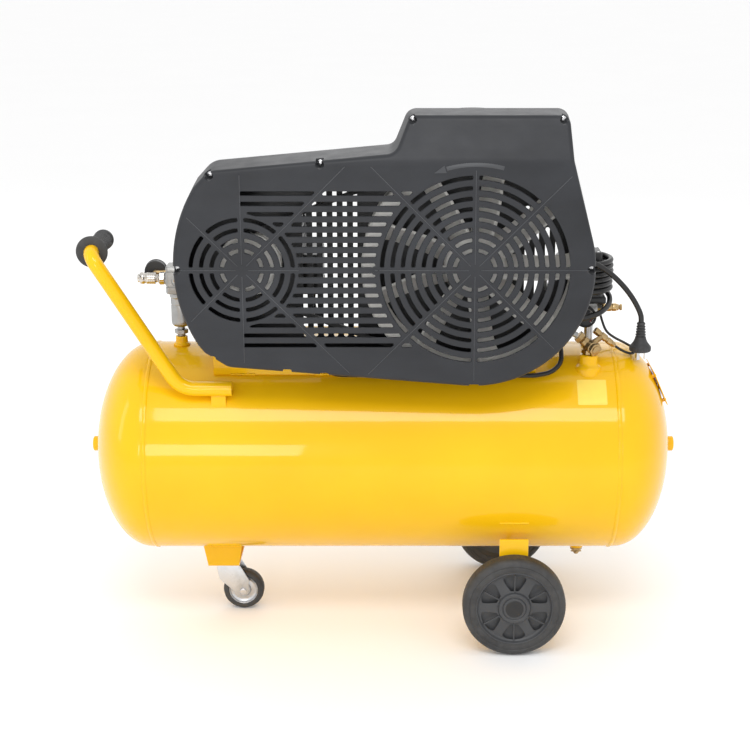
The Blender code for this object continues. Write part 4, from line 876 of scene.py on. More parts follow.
# ---------------------------------------------------------------- running gear
def make_wheel(name, side):
    width = high("wheel_tyre_" + name).y - low("wheel_tyre_" + name).y
    centre_y = middle("wheel_tyre_" + name).y
    at = (0.228, centre_y, WHEEL_R)
    half = width / 2
    body = "wheel_" + name
    rim_r = 0.0664
    grooves = 60

    def tread(angle, radius, height):
        if radius > WHEEL_R - 0.0006 and abs(height) < half - 0.011:
            return radius - 0.0007 * (math.cos(grooves * angle) > 0.86)
        return radius

    profile = [(rim_r, -half + 0.002), (0.0700, -half + 0.0012), (0.0745, -half + 0.0004),
            (0.0770, -half + 0.0016), (0.0790, -half + 0.0006), (0.0830, -half + 0.0016),
            (0.0866, -half + 0.0046), (0.0888, -half + 0.0085), (WHEEL_R, -half + 0.0120)]
    mirrored = [(r, -h) for r, h in reversed(profile)]
    as_piece("tyre_" + name, add_turned(bmesh.new(), profile + [(WHEEL_R, -0.004), (WHEEL_R, 0.004)]
            + mirrored, at, Y * side, 360, tread), "black_rubber", body, replaces=("wheel_tyre_" + name,),
            angle=40)
    bore = 0.0082
    face = half - 0.0005
    rim = [(bore, -half + 0.001), (0.0240, -half + 0.001), (0.0240, -0.010), (0.0600, -0.010),
            (rim_r, -half + 0.003), (rim_r, face - 0.0015), (0.0655, face - 0.0008),
            (0.0645, face - 0.0010), (0.0628, face - 0.0060), (0.0600, face - 0.0080),
            (0.0290, face - 0.0058), (0.0276, face - 0.0020), (0.0262, face - 0.0004),
            (0.0216, face - 0.0004), (0.0204, face - 0.0018), (0.0196, face - 0.0018),
            (0.0190, face - 0.0002), (0.0172, face), (bore, face)]
    bm = bmesh.new()
    add_round(bm, rim, 0.0007, (0, 0, 0), Z, 144)
    tool = bmesh.new()
    for k in range(6):
        turn = math.radians(30 + 60 * k)
        outline = []
        for radius, angle in ((0.0318, -13), (0.0318, 13), (0.0440, 19), (0.0560, 21), (0.0592, 12),
                (0.0600, 0), (0.0592, -12), (0.0560, -21), (0.0440, -19)):
            spun = math.radians(angle) + turn
            outline.append((radius * math.cos(spun), radius * math.sin(spun), 0.004))
        outline = rounded(outline, 15)
        floor_z = face - 0.0150
        add_loft(tool, [(offset_outline(outline, -0.0052), floor_z), (offset_outline(outline, -0.0036),
                floor_z + 0.0010), (offset_outline(outline, -0.0012), face - 0.0085),
                (offset_outline(outline, 0.0004), face - 0.0056), (offset_outline(outline, 0.0016),
                face + 0.004)], "XY")
    bm = boolean(bm, tool)
    bmesh.ops.transform(bm, matrix=frame_of(at, Y * side), verts=bm.verts)
    as_piece("wheel_disc_" + name, bm, "grey_plastic", body, replaces=("wheel_rim_" + name,), angle=35)
    bm = bmesh.new()
    for k in range(6):
        spin = Matrix.Rotation(math.radians(60 * k), 4, "Z")
        rib = [(-0.0012, 0.0290), (0.0012, 0.0290), (0.0012, 0.0610), (-0.0012, 0.0610)]
        part = bmesh.new()
        add_prism(part, rib, face - 0.0080, face - 0.0046, "XY")
        bmesh.ops.transform(part, matrix=frame_of(at, Y * side) @ spin, verts=part.verts)
        copy_into(bm, part)
    as_piece("wheel_ribs_" + name, bm, "grey_plastic", body, bevel=0.0005)
    cap = [(0, face - 0.003), (0.0158, face - 0.003), (0.0158, face + 0.0001), (0.0146, face + 0.0004),
            (0, face + 0.0004)]
    as_piece("hub_cap_" + name, add_round(bmesh.new(), cap, 0.0010, at, Y * side, 64), "black_plastic",
            body)


def copy_into(target, source):
    """Add one bmesh's geometry to another."""
    mesh = bpy.data.meshes.new("copy")
    source.to_mesh(mesh)
    source.free()
    target.from_mesh(mesh)
    bpy.data.meshes.remove(mesh)


def make_wheel_bracket(name, side):
    corners = [(0.203, 0.2000, 0), (0.203, 0.0980, 0.004), (0.212, 0.0680, 0.016), (0.244, 0.0680, 0.016),
            (0.253, 0.0980, 0.004), (0.253, 0.2000, 0)]
    near, far = sorted((side * 0.1620, side * 0.1660))
    outline = rounded(corners)
    top = TANK_Z - math.sqrt(TANK_R ** 2 - 0.162 ** 2) + 0.0015
    outline = [(a, min(b, top)) for a, b in outline]
    as_piece("wheel_hanger_" + name, add_prism(bmesh.new(), outline, near, far, "XZ", 0.0007),
            "tank_yellow", replaces=("wheel_bracket_" + name,))
    bm = bmesh.new()
    steps = 40
    for i in range(steps):
        x = 0.2045 + 0.047 * i / (steps - 1)
        r = 0.0022 + 0.0004 * math.sin(2.3 * i)
        bmesh.ops.create_icosphere(bm, subdivisions=1, radius=r,
                matrix=Matrix.Translation((x, side * 0.1612,
                TANK_Z - math.sqrt(TANK_R ** 2 - 0.1612 ** 2) - 0.0004)))
    as_piece("hanger_weld_" + name, bm, "tank_yellow", angle=80)


def make_caster():
    wheel_x = (low("caster_axle").x + high("caster_axle").x) / 2
    wheel_z = middle("caster_axle").z
    swivel_x = -0.288
    plate_top = high("caster_plate").z
    bm = bmesh.new()
    outer = rounded([(-0.050, 0.1450, 0), (-0.050, 0.1000, 0.0060), (0.050, 0.1000, 0.0060),
            (0.050, 0.1450, 0), (0.046, 0.1450, 0), (0.046, 0.1040, 0.0025), (-0.046, 0.1040, 0.0025),
            (-0.046, 0.1450, 0)])
    bottom = TANK_Z - math.sqrt(TANK_R ** 2 - 0.048 ** 2) + 0.001
    outer = [(a, min(b, bottom)) for a, b in outer]
    add_prism(bm, outer, -0.326, -0.256, "YZ", 0.0006)
    for vert in bm.verts:
        if vert.co.z < 0.11:
            vert.co.x += 0.007 if vert.co.x < -0.29 else -0.006
    as_piece("caster_mount", bm, "tank_yellow", replaces=("caster_bracket",))
    bm = bmesh.new()
    add_box(bm, (swivel_x - 0.027, -0.023, plate_top - 0.003), (swivel_x + 0.024, 0.023, plate_top), 0.0009)
    for dx in (-0.021, 0.018):
        for y in (-0.017, 0.017):
            add_turned(bm, [(0, 0), (0.0042, 0), (0.0042, 0.0022), (0.0022, 0.0030), (0, 0.0030)],
                    (swivel_x + dx, y, plate_top - 0.003), -Z, 6)
    profile = [(0, 0), (0.0150, 0), (0.0165, 0.0012), (0.0172, 0.0030), (0.0196, 0.0044), (0.0200, 0.0060),
            (0.0188, 0.0076), (0.0185, 0.0088), (0, 0.0088)]
    add_round(bm, profile, 0.0008, (swivel_x, 0, plate_top - 0.0108), Z, 56)
    as_piece("caster_swivel_race", bm, "zinc_steel", replaces=("caster_plate",))
    fork_top = high("caster_fork").z
    half = (high("caster_fork").y - low("caster_fork").y) / 2
    side_outline = rounded([(swivel_x - 0.020, fork_top, 0.004), (swivel_x - 0.016, 0.0620, 0.010),
            (wheel_x - 0.009, 0.0300, 0.008), (wheel_x + 0.009, 0.0300, 0.008),
            (wheel_x + 0.011, 0.0600, 0.010), (swivel_x + 0.022, fork_top, 0.004)])
    bm = bmesh.new()
    for sign in (-1, 1):
        near, far = sorted((sign * half, sign * (half - 0.0026)))
        add_prism(bm, side_outline, near, far, "XZ", 0.0006)
    crown = rounded([(swivel_x - 0.0185, fork_top, 0.004), (swivel_x - 0.0180, fork_top - 0.0034, 0.0012),
            (swivel_x + 0.0205, fork_top - 0.0034, 0.0012), (swivel_x + 0.0212, fork_top, 0.004)])
    add_prism(bm, crown, -half + 0.001, half - 0.001, "XZ")
    as_piece("caster_fork_legs", bm, "zinc_steel", "caster_swivel", replaces=("caster_fork",))
    bm = bmesh.new()
    add_rod(bm, (wheel_x, -half - 0.0026, wheel_z), (wheel_x, half + 0.0026, wheel_z), 0.0040)
    for sign in (-1, 1):
        add_round(bm, [(0, 0), (0.0068, 0), (0.0068, 0.0024), (0.0045, 0.0030), (0, 0.0030)], 0.0006,
                (wheel_x, sign * half, wheel_z), Y * sign, 6)
    as_piece("caster_bolt", bm, "screw_steel", "caster_swivel", replaces=("caster_axle",))
    side = 0.0125
    rim = [(0.0048, -side), (0.0105, -side), (0.0120, -side + 0.0012), (0.0140, -0.0078), (0.0205, -0.0066),
            (0.0245, -0.0082), (0.0256, -side + 0.0008), (0.0263, -side + 0.0004)]
    rim += [(r, -h) for r, h in reversed(rim)]
    as_piece("caster_wheel_disc", add_round(bmesh.new(), rim, 0.0006, (wheel_x, 0, wheel_z), Y, 72),
            "zinc_steel", "caster_wheel", replaces=("caster_rim",))
    radius = 0.0375
    tyre = [(0.0263, -side + 0.001), (0.0305, -side), (0.0345, -side + 0.0012), (0.0366, -side + 0.0040),
            (radius, -side + 0.0080)]
    tyre += [(r, -h) for r, h in reversed(tyre)]
    as_piece("caster_tread", add_turned(bmesh.new(), tyre, (wheel_x, 0, wheel_z), Y, 96), "black_rubber",
            "caster_wheel", replaces=("caster_tyre",), angle=40)


# ---------------------------------------------------------------- platform and handle
def make_platform():
    node_low = low("platform")
    node_high = high("platform")
    y = node_high.y
    sheet = 0.004
    top = node_high.z
    under = top - sheet
    base = node_low.z
    corners = [(-y, base, 0), (-y + sheet, base, 0), (-y + sheet, under, 0.003), (y - sheet, under, 0.003),
            (y - sheet, base, 0), (y, base, 0), (y, top, 0.007), (-y, top, 0.007)]
    as_piece("machine_platform", add_prism(bmesh.new(), rounded(corners), node_low.x, node_high.x, "YZ",
            0.0006), "tank_yellow", replaces=("platform",))
    bm = bmesh.new()
    for sign in (-1, 1):
        for k in range(4):
            start = node_low.x + 0.03 + 0.145 * k
            for i in range(26):
                r = 0.0021 + 0.0004 * math.sin(2.1 * i + k)
                bmesh.ops.create_icosphere(bm, subdivisions=1, radius=r, matrix=Matrix.Translation((start
                        + 0.0016 * i, sign * (y + 0.0002), base + 0.0004)))
    as_piece("platform_welds", bm, "tank_yellow", angle=80)


def add_sleeve(bm, profile, at, shape):
    """A closed sleeve: its profile runs up the outside, over the cap and back down the bore."""
    matrix = frame_of(at, Y)
    sides = 96
    rings = []
    for radius, height in profile:
        if radius < 1e-9:
            rings.append([bm.verts.new(matrix @ Vector((0, 0, height)))])
            continue
        ring = []
        for i in range(sides):
            angle = 2 * math.pi * i / sides
            r = shape(angle, radius, height)
            ring.append(bm.verts.new(matrix @ Vector((r * math.cos(angle), r * math.sin(angle), height))))
        rings.append(ring)
    for first, second in zip(rings, rings[1:] + rings[:1]):
        if len(first) == len(second) == 1:
            continue
        for i in range(sides):
            j = (i + 1) % sides
            loop = [first[i % len(first)], first[j % len(first)], second[j % len(second)],
                    second[i % len(second)]]
            bm.faces.new(list(dict.fromkeys(loop)))


def make_handle():
    radius = 0.0125
    y = -0.142
    foot = (-0.254, 0.4656)
    knee_x = -0.342
    top = (-0.484, 0.697)
    grip = (-0.120, -0.008)
    corners = [(foot[0], y, foot[1]), (knee_x, y, foot[1]), (top[0], y, top[1]),
            (top[0], grip[1] - 0.006, top[1])]
    as_piece("handle_bar", add_tube(bmesh.new(), bent_path(corners, (0.045, 0.022)), radius, 40,
            radius - 0.002), "tank_yellow", replaces=("handle_tube",), bevel=0.0004)
    surface = TANK_Z + math.sqrt(TANK_R ** 2 - y ** 2)
    as_piece("handle_tab", add_box(bmesh.new(), (-0.290, y - 0.004, surface - 0.006),
            (-0.265, y + 0.004, foot[1] - radius + 0.001), 0.0008), "tank_yellow")
    length = grip[1] - grip[0]
    ribs = 11

    def chevron(angle, r, z):
        if 0.016 < z < length - 0.014:
            wave = z / (length - 0.030) * ribs + 0.55 * abs(((angle * 4 / math.pi) % 2) - 1)
            return r + (0.0017 if (wave % 1.0) < 0.55 else -0.0004)
        return r

    profile = [(radius + 0.0003, 0), (0.0245, 0), (0.0265, 0.0010), (0.0267, 0.0030), (0.0255, 0.0044),
            (0.0185, 0.0075), (0.0162, 0.0105), (0.0155, 0.0140)]
    steps = 120
    for k in range(steps + 1):
        profile.append((0.0152, 0.0150 + (length - 0.028) * k / steps))
    profile += [(0.0168, length - 0.0105), (0.0177, length - 0.0090), (0.0177, length - 0.0030),
            (0.0168, length - 0.0004), (0.0150, length), (0, length)]
    bm = bmesh.new()
    profile += [(0, length - 0.005), (radius + 0.0003, length - 0.005)]
    add_sleeve(bm, profile, (top[0], grip[0], top[1]), chevron)
    as_piece("grip_sleeve", bm, "black_rubber", replaces=("handle_grip",), angle=40)


# ---------------------------------------------------------------- belt guard
BIG_CENTRE = (0.1527, 0.685)
SMALL_CENTRE = (-0.2244, 0.685)
SLOT = 0.0065
SLOT_PITCH = 0.0168
GRILLE_RIB = 0.010
ROW_PITCH = 0.0167
BIG_GRILLE_R = 0.162
SMALL_GRILLE_R = 0.092
GUARD_WALL = 0.003
GUARD_DRAFT = 0.004
GUARD_EDGE = 0.0076               # rounding of the guard's front edge
CREASE_Z = 0.861                  # fold below the sloping upper face
CREASE_SLOPE = 0.38               # how far the upper face leans back, per metre of height
SCREW_SPOTS = [
    # x, z of each screw pocket, and the way its mouth opens
    (-0.2725, 0.8375, 128), (-0.0960, 0.8560, 95), (0.0520, 0.9235, 118), (0.2925, 0.9235, 62),
    (-0.3300, 0.6850, 180), (0.3415, 0.6850, 0),
]
EDGE_NOTCHES = [(-0.2790, 0.5380, 0.0070), (-0.1550, 0.5160, 0.0075), (-0.0940, 0.5098, 0.0075),
                (0.1530, 0.4900, 0.0085)]
CENTRE_BOSS = (-0.0090, 0.6850)


def guard_outline():
    """The guard's counter-clockwise outline in x and z."""
    corners = [(*p, 0) for p in arc(BIG_CENTRE, 0.196, -94.3, 13.5, 48)]
    corners += [(0.309, 0.861, 0.012), (0.3020, 0.931, 0.016), (0.0475, 0.931, 0.016),
            (0.0240, 0.8733, 0.022), (-0.2745, 0.8458, 0.030)]
    corners += [(*p, 0) for p in arc((-0.0878, 0.688), 0.2487, 148.2, 211.5, 24)]
    corners += [(-0.2900, 0.5460, 0.010), (-0.2520, 0.5213, 0.030)]
    return rounded(corners, 7)


def rounded_slot(points, radius=0.0022):
    """Round the four corners of a slot without touching its long curved sides."""
    count = len(points)
    corners = []
    for i, here in enumerate(points):
        before = Vector(here) - Vector(points[i - 1])
        after = Vector(points[(i + 1) % count]) - Vector(here)
        sharp = before.length > 1e-7 and after.length > 1e-7 and before.angle(after) > math.radians(40)
        corners.append((*here, radius if sharp else 0))
    return rounded(corners, 30)


def ring_slots(centre, first, rings):
    """Outlines of concentric slots in eight sectors between straight ribs."""
    slots = []
    for k in range(rings):
        inner = first + SLOT_PITCH * k - SLOT / 2
        outer = inner + SLOT
        steps = 6 + 2 * k
        for sector in range(8):
            start = 45 * sector
            inner_rib = math.degrees(math.asin(GRILLE_RIB / 2 / inner))
            outer_rib = math.degrees(math.asin(GRILLE_RIB / 2 / outer))
            slot = arc(centre, outer, start + outer_rib, start + 45 - outer_rib, steps)
            slot += arc(centre, inner, start + 45 - inner_rib, start + inner_rib, steps)
            slots.append(rounded_slot(slot))
    return slots


def row_slots():
    """Outlines of the straight slots between the two grilles, cut by the slanting ribs."""
    slant = GRILLE_RIB / math.sqrt(2)
    slots = []
    for k in range(8):
        for side in (1, -1):
            edges = []
            for lift in (-SLOT / 2, SLOT / 2):
                rise = 0.0084 + ROW_PITCH * k + lift
                left = SMALL_CENTRE[0] + math.sqrt(max(0.0, SMALL_GRILLE_R ** 2 - rise ** 2))
                right = BIG_CENTRE[0] - math.sqrt(BIG_GRILLE_R ** 2 - rise ** 2)
                left_rib = SMALL_CENTRE[0] + rise
                right_rib = BIG_CENTRE[0] - rise
                stops = [(left, left_rib - slant), (max(left, left_rib + slant),
                        min(right, right_rib - slant)), (right_rib + slant, right)]
                edges.append((BIG_CENTRE[1] + side * rise, stops))
            (z_near, near), (z_far, far) = edges
            for (a, b), (c, d) in zip(near, far):
                if b - a > 0.004 and d - c > 0.004:
                    slot = [(a, z_near), (b, z_near), (d, z_far), (c, z_far)]
                    slots.append(rounded_slot(slot if side > 0 else slot[::-1], 0.0020))
    return slots


def lean_back(bm, front, back):
    """Fold the face above the crease backwards, fading out towards the guard's rear edge."""
    for lift in (-0.006, -0.003, 0.0, 0.003, 0.006, 0.020, 0.040):
        geometry = bm.verts[:] + bm.edges[:] + bm.faces[:]
        bmesh.ops.bisect_plane(bm, geom=geometry, plane_co=(0, 0, CREASE_Z + lift), plane_no=Z)
    soft = 0.006
    for vert in bm.verts:
        above = vert.co.z - CREASE_Z
        if above <= -soft:
            continue
        lean = (above + soft) ** 2 / (4 * soft) if above < soft else above
        share = (back - vert.co.y) / (back - front)
        vert.co.y += CREASE_SLOPE * lean * share


def guard_shell(outline, front, back):
    """The thin-walled cover with a round front rim."""
    sections = []
    for k in range(7):
        a = math.radians(90 * k / 6)
        sections.append((front + GUARD_EDGE * (1 - math.sin(a)), -GUARD_EDGE * (1 - math.cos(a)) * 0.98))
    sections = sections[::-1]
    # the outermost section first on the face, then along the side to the rear edge
    outer = [(front, -GUARD_EDGE)] + [(y, d) for y, d in sections[1:]] + [(back, GUARD_DRAFT)]
    inner = [(back, GUARD_DRAFT - GUARD_WALL), (front + GUARD_EDGE + 0.001, -GUARD_WALL),
            (front + GUARD_WALL + 0.002, -0.0050), (front + GUARD_WALL, -0.0085)]
    bm = bmesh.new()
    loops = []
    for y, distance in outer + inner:
        loops.append([bm.verts.new((x, y, z)) for x, z in offset_outline(outline, distance)])
    count = len(outline)
    for first, second in zip(loops, loops[1:]):
        for i in range(count):
            j = (i + 1) % count
            bm.faces.new((first[i], first[j], second[j], second[i]))
    bm.faces.new(loops[0])
    bm.faces.new(loops[-1])
    return bm


def add_slot_cutter(tool, outline, front):
    """A through cutter that also rounds the slot's front edge."""
    add_loft(tool, [(offset_outline(outline, 0.0015), front - 0.0012), (offset_outline(outline, 0.0009),
            front - 0.00005), (offset_outline(outline, 0.00035), front + 0.0004), (outline, front + 0.0011),
            (outline, front + GUARD_WALL + 0.004)], "XZ")


def make_guard():
    front = low("guard_front").y
    back = high("guard_front").y
    outline = guard_outline()
    bm = guard_shell(outline, front, back)
    bosses = bmesh.new()
    pockets = bmesh.new()
    for x, z, way in SCREW_SPOTS:
        a = math.radians(way)
        out = Vector((math.cos(a), 0, math.sin(a)))
        pocket = stadium((x, z), 0.0062, out, 0.030)
        wall = stadium((x, z), 0.0088, out, 0.004)
        add_loft(bosses, [(wall, front + 0.0015), (wall, front + 0.0290)], "XZ")
        add_loft(pockets, [(offset_outline(pocket, 0.0014), front - 0.002), (offset_outline(pocket, 0.0006),
                front + 0.0012), (pocket, front + 0.0035), (pocket, front + 0.0260)], "XZ")
    bm = boolean(bm, boolean(bosses, guard_mould(outline, front, back, 0.0005), "INTERSECT"), "UNION")
    tool = bmesh.new()
    slots = ring_slots(BIG_CENTRE, 0.0330, 8) + ring_slots(SMALL_CENTRE, 0.0324, 4) + row_slots()
    for slot in slots:
        add_slot_cutter(tool, slot, front)
    bm = boolean(bm, tool)
    bm = boolean(bm, pockets)
    notches = bmesh.new()
    for x, z, size in EDGE_NOTCHES:
        shape = rounded([(x - size, z - 0.02, 0), (x + size, z - 0.02, 0), (x + size, z + 0.003, 0.003),
                (x - size, z + 0.003, 0.003)], 20)
        add_loft(notches, [(shape, front - 0.01), (shape, front + 0.030)], "XZ")
    bm = boolean(bm, notches)
    lean_back(bm, front, back)
    as_piece("guard_cover", bm, "guard_plastic", replaces=("guard_front",), angle=28)
    make_guard_details(front)


def stadium(centre, radius, out, reach):
    """A round-ended slot outline from a centre towards a direction in x and z."""
    heading = math.degrees(math.atan2(out.z, out.x))
    points = arc(centre, radius, heading + 90, heading + 270, 12)
    far = (centre[0] + out.x * reach, centre[1] + out.z * reach)
    side = Vector((-out.z, out.x)) * radius
    points += [(far[0] - side.x, far[1] - side.y), (far[0] + side.x, far[1] + side.y)]
    return points


def guard_mould(outline, front, back, inset):
    """The guard's outer form as a solid block, a little smaller all round."""
    mould = bmesh.new()
    sections = [(offset_outline(outline, -GUARD_EDGE - inset), front + inset)]
    for k in range(5, -1, -1):
        a = math.radians(90 * k / 6)
        sections.append((offset_outline(outline, -GUARD_EDGE * (1 - math.cos(a)) * 0.98 - inset),
                front + inset + GUARD_EDGE * (1 - math.sin(a))))
    sections.append((offset_outline(outline, GUARD_DRAFT - inset), back - inset))
    return add_loft(mould, sections, "XZ")


def make_guard_details(front):
    """Screws, the centre boss ring, a plain turning-direction arrow and the ridges."""
    bm = bmesh.new()
    slots = {0: bmesh.new(), 90: bmesh.new()}
    for x, z, way in SCREW_SPOTS:
        y = front + 0.0262
        if z > CREASE_Z:
            y += CREASE_SLOPE * (z - CREASE_Z) * 0.72
        add_round(bm, [(0, 0), (0.0050, 0), (0.0050, 0.0008), (0.0036, 0.0012), (0.0034, 0.0026),
                (0.0022, 0.0034), (0, 0.0036)], 0.0004, (x, y, z), -Y, 28)
        for turn, tool in slots.items():
            spin = Matrix.Rotation(math.radians(turn + way), 3, "Y")
            add_box(tool, (x - 0.0024, y - 0.0042, z - 0.0004), (x + 0.0024, y - 0.0026, z + 0.0004), 0, 1,
                    spin)
    for tool in slots.values():
        bm = boolean(bm, tool)
    as_piece("guard_screws", bm, "screw_steel")
    x, z = CENTRE_BOSS
    ring = [(0.0040, 0.0), (0.0070, 0.0), (0.0072, 0.0002), (0.0066, 0.0005), (0.0046, 0.0005),
            (0.0042, 0.0003), (0.0040, -0.0030)]
    as_piece("guard_centre_boss", add_turned(bmesh.new(), ring, (x, front, z), -Y, 48), "guard_plastic")
    bm = bmesh.new()
    inner, outer = 0.1680, 0.1745
    body = arc(BIG_CENTRE, outer, 75, 106, 20) + arc(BIG_CENTRE, inner, 106, 75, 20)
    add_relief(bm, body, front)
    tip = [(BIG_CENTRE[0] + r * math.cos(math.radians(a)), BIG_CENTRE[1] + r * math.sin(math.radians(a)))
            for r, a in ((inner - 0.003, 106.6), (outer + 0.003, 106.6), ((inner + outer) / 2, 113.0))]
    add_relief(bm, tip, front)
    # The arrow's lighter plastic is a painted highlight on its raised face.
    as_piece("direction_arrow", bm, "guard_relief_painted_highlight", angle=40)
    make_guard_ridges(front)


def edge_distance(centre, along, outline):
    """How far the guard's outline is from a point inside it, in one direction."""
    best = 1.0
    for a, b in zip(outline, outline[1:] + outline[:1]):
        edge = Vector(b) - Vector(a)
        cross = along.x * edge.y - along.y * edge.x
        if abs(cross) < 1e-9:
            continue
        gap = Vector(a) - Vector(centre)
        distance = (gap.x * edge.y - gap.y * edge.x) / cross
        share = (gap.x * along.y - gap.y * along.x) / cross
        if distance > 0 and 0 <= share <= 1:
            best = min(best, distance)
    return best


def make_guard_ridges(front):
    """Fine moulded ridges along the grilles' ribs and along the guard's centre line."""
    bm = bmesh.new()
    half = 0.0006
    for centre, reach, facing, above in ((SMALL_CENTRE, SMALL_GRILLE_R, 0, None),
            (BIG_CENTRE, BIG_GRILLE_R, 4, 2)):
        for k in range(8):
            angle = math.radians(45 * k)
            along = Vector((math.cos(angle), math.sin(angle)))
            side = Vector((-along.y, along.x)) * half
            far = edge_distance(centre, along, guard_outline()) - 0.0110
            if along.y > 0.1:
                far = min(far, (CREASE_Z - 0.008 - centre[1]) / along.y)
            if k in (facing, above):
                far = min(far, reach)
            near = Vector(centre) + along * 0.010
            end = Vector(centre) + along * far
            add_relief(bm, [(near - side).to_tuple(), (end - side).to_tuple(), (end + side).to_tuple(),
                    (near + side).to_tuple()], front, 0.0002)
    # The ridges' lighter plastic is a painted highlight on their raised tops.
    as_piece("guard_ridges", bm, "guard_relief_painted_highlight", angle=60)


def add_relief(bm, outline, front, slope=0.0004):
    """A raised flat shape on the guard's face, with sloping sides."""
    rise = 0.0005
    area = sum(a[0] * b[1] - b[0] * a[1] for a, b in zip(outline, outline[1:] + outline[:1]))
    if area < 0:
        outline = outline[::-1]
    add_loft(bm, [(offset_outline(outline, -slope), front - rise), (outline, front - rise * 0.4),
            (outline, front + 0.0006)], "XZ")


LEFT_SLOTS = 6
LEFT_SLOT_X = -0.1287
RIGHT_SLOTS = 4
RIGHT_SLOT_X = 0.2430
BACK_SLOT = 0.0070
BACK_SLOT_PITCH = 0.0170


def make_guard_back():
    near = low("guard_rear").y
    far = high("guard_rear").y
    outline = offset_outline(guard_outline(), GUARD_DRAFT - 0.0005)
    bm = bmesh.new()
    add_prism(bm, outline, near, far, "XZ", 0.0008)
    openings = [arc((MOTOR.x, CRANK.z), 0.055, 0, 356, 89), arc((CRANK.x, CRANK.z), 0.060, 0, 356, 89)]
    slots = []
    for k in range(LEFT_SLOTS):
        slots.append((LEFT_SLOT_X + BACK_SLOT_PITCH * k, 0.550, min(0.810, 0.765 + 0.020 * k)))
    for k in range(RIGHT_SLOTS):
        reach = 0.090 - 0.018 * k
        slots.append((RIGHT_SLOT_X + BACK_SLOT_PITCH * k, CRANK.z - reach, CRANK.z + reach))
    half = BACK_SLOT / 2
    for x, bottom, top in slots:
        openings.append(rectangle(x - half, bottom, x + half, top, 0.003, 20))
    tool = bmesh.new()
    for opening in openings:
        add_loft(tool, [(opening, near - 0.01), (opening, far - 0.0007), (offset_outline(opening, 0.0012),
                far + 0.0005)], "XZ")
    bm = boolean(bm, tool)
    as_piece("guard_back_plate", bm, "black_plastic", replaces=("guard_rear",), angle=28)
    bm = bmesh.new()
    for x, z, way in SCREW_SPOTS:
        inward = Vector((-math.cos(math.radians(way)), 0, -math.sin(math.radians(way)))) * 0.001
        add_round(bm, [(0, 0), (0.0056, 0), (0.0056, 0.0010), (0.0040, 0.0016), (0.0040, 0.0048),
                (0, 0.0048)], 0.0004, (x + inward.x, far - 0.0002, z + inward.z), Y, 6)
    as_piece("guard_back_nuts", bm, "zinc_steel")


# ---------------------------------------------------------------- flywheel, belt and motor
BLADES = 9
BELT_R = 0.1775
PULLEY_BELT_R = 0.0440
BELT_Y = -0.146
BELT_THICK = 0.0075


def make_flywheel():
    front = low("flywheel").y
    depth = high("flywheel").y - front
    outer = (high("flywheel").z - low("flywheel").z) / 2
    at = (CRANK.x, front, CRANK.z)
    belt = BELT_Y - front
    groove = BELT_R - 0.0008
    profile = [(0.1600, 0.0010), (0.1612, 0.0), (0.1830, 0.0), (outer, 0.0022), (outer, belt - 0.0078),
            (groove, belt - 0.0050), (groove, belt + 0.0050), (outer, belt + 0.0078),
            (outer, depth - 0.0020), (0.1835, depth), (0.1612, depth), (0.1600, depth - 0.0010),
            (0.1648, depth - 0.0130), (0.1648, 0.0120)]
    bm = bmesh.new()
    add_turned(bm, profile, at, Y, 200)
    hub = [(0.0120, 0.0040), (0.0150, 0.0030), (0.0290, 0.0030), (0.0310, 0.0044), (0.0325, 0.0080),
            (0.0480, 0.0110), (0.0500, 0.0130), (0.0500, depth - 0.0050), (0.0485, depth - 0.0030),
            (0.0120, depth - 0.0030)]
    add_round(bm, hub, 0.0010, at, Y, 96)
    blades = bmesh.new()
    leading, trailing, thick = 0.016, -0.012, 0.0024
    for k in range(BLADES):
        turn = Matrix.Rotation(math.radians(360 * k / BLADES), 3, "Y")
        section = blade_section(leading, trailing, thick, depth)
        rows = []
        for i in range(7):
            share = i / 6
            radius = 0.0460 + (0.1635 - 0.0460) * share
            fat = 1.35 - 0.45 * share if share < 0.85 else 1.0 + 0.6 * (share - 0.85) / 0.15
            bow = 0.0035 * math.sin(math.pi * share)
            row = []
            for t, y in section:
                centre = leading + (trailing - leading) * (y / depth)
                row.append(blades.verts.new(Vector(at) + turn @ Vector((radius, y,
                        -(centre + (t - centre) * fat) - bow))))
            rows.append(row)
        for first, second in zip(rows, rows[1:]):
            for i in range(len(section)):
                j = (i + 1) % len(section)
                blades.faces.new((first[i], second[i], second[j], first[j]))
        blades.faces.new(rows[0])
        blades.faces.new(rows[-1][::-1])
    bm = boolean(bm, blades, "UNION")
    # Its pale finish is partly painted light, brightening the blades that sit in the guard's shade.
    as_piece("fan_flywheel", bm, "pale_paint_and_painted_light", "flywheel_set", replaces=("flywheel",), angle=34)
    bm = bmesh.new()
    add_round(bm, [(0, -0.0045), (0.0088, -0.0045), (0.0098, -0.0036), (0.0098, 0.0035), (0, 0.0035)],
            0.0005, at, Y, 6)
    add_round(bm, [(0, -0.0010), (0.0160, -0.0010), (0.0168, 0.0), (0.0168, 0.0030), (0, 0.0030)], 0.0004,
            at, Y, 48)
    as_piece("flywheel_bolt", bm, "screw_steel", "flywheel_set")
    as_piece("flywheel_key", add_box(bmesh.new(), (CRANK.x - 0.0022, front + 0.0020, CRANK.z + 0.0180),
            (CRANK.x + 0.0022, front + 0.0036, CRANK.z + 0.0270), 0.0004), "zinc_steel", "flywheel_set")


def blade_section(leading, trailing, thick, depth):
    """A fan blade's cross-section: tangential offset and depth, with a round leading edge."""
    near, far = 0.0035, depth - 0.0035
    points = []
    for k in range(7):
        a = math.radians(180 * k / 6)
        points.append((leading + thick * math.cos(a), near + thick * (1 - math.sin(a)) * 0.9))
    points += [(trailing - thick, far - 0.002), (trailing - thick * 0.4, far),
            (trailing + thick * 0.4, far), (trailing + thick, far - 0.002)]
    return points


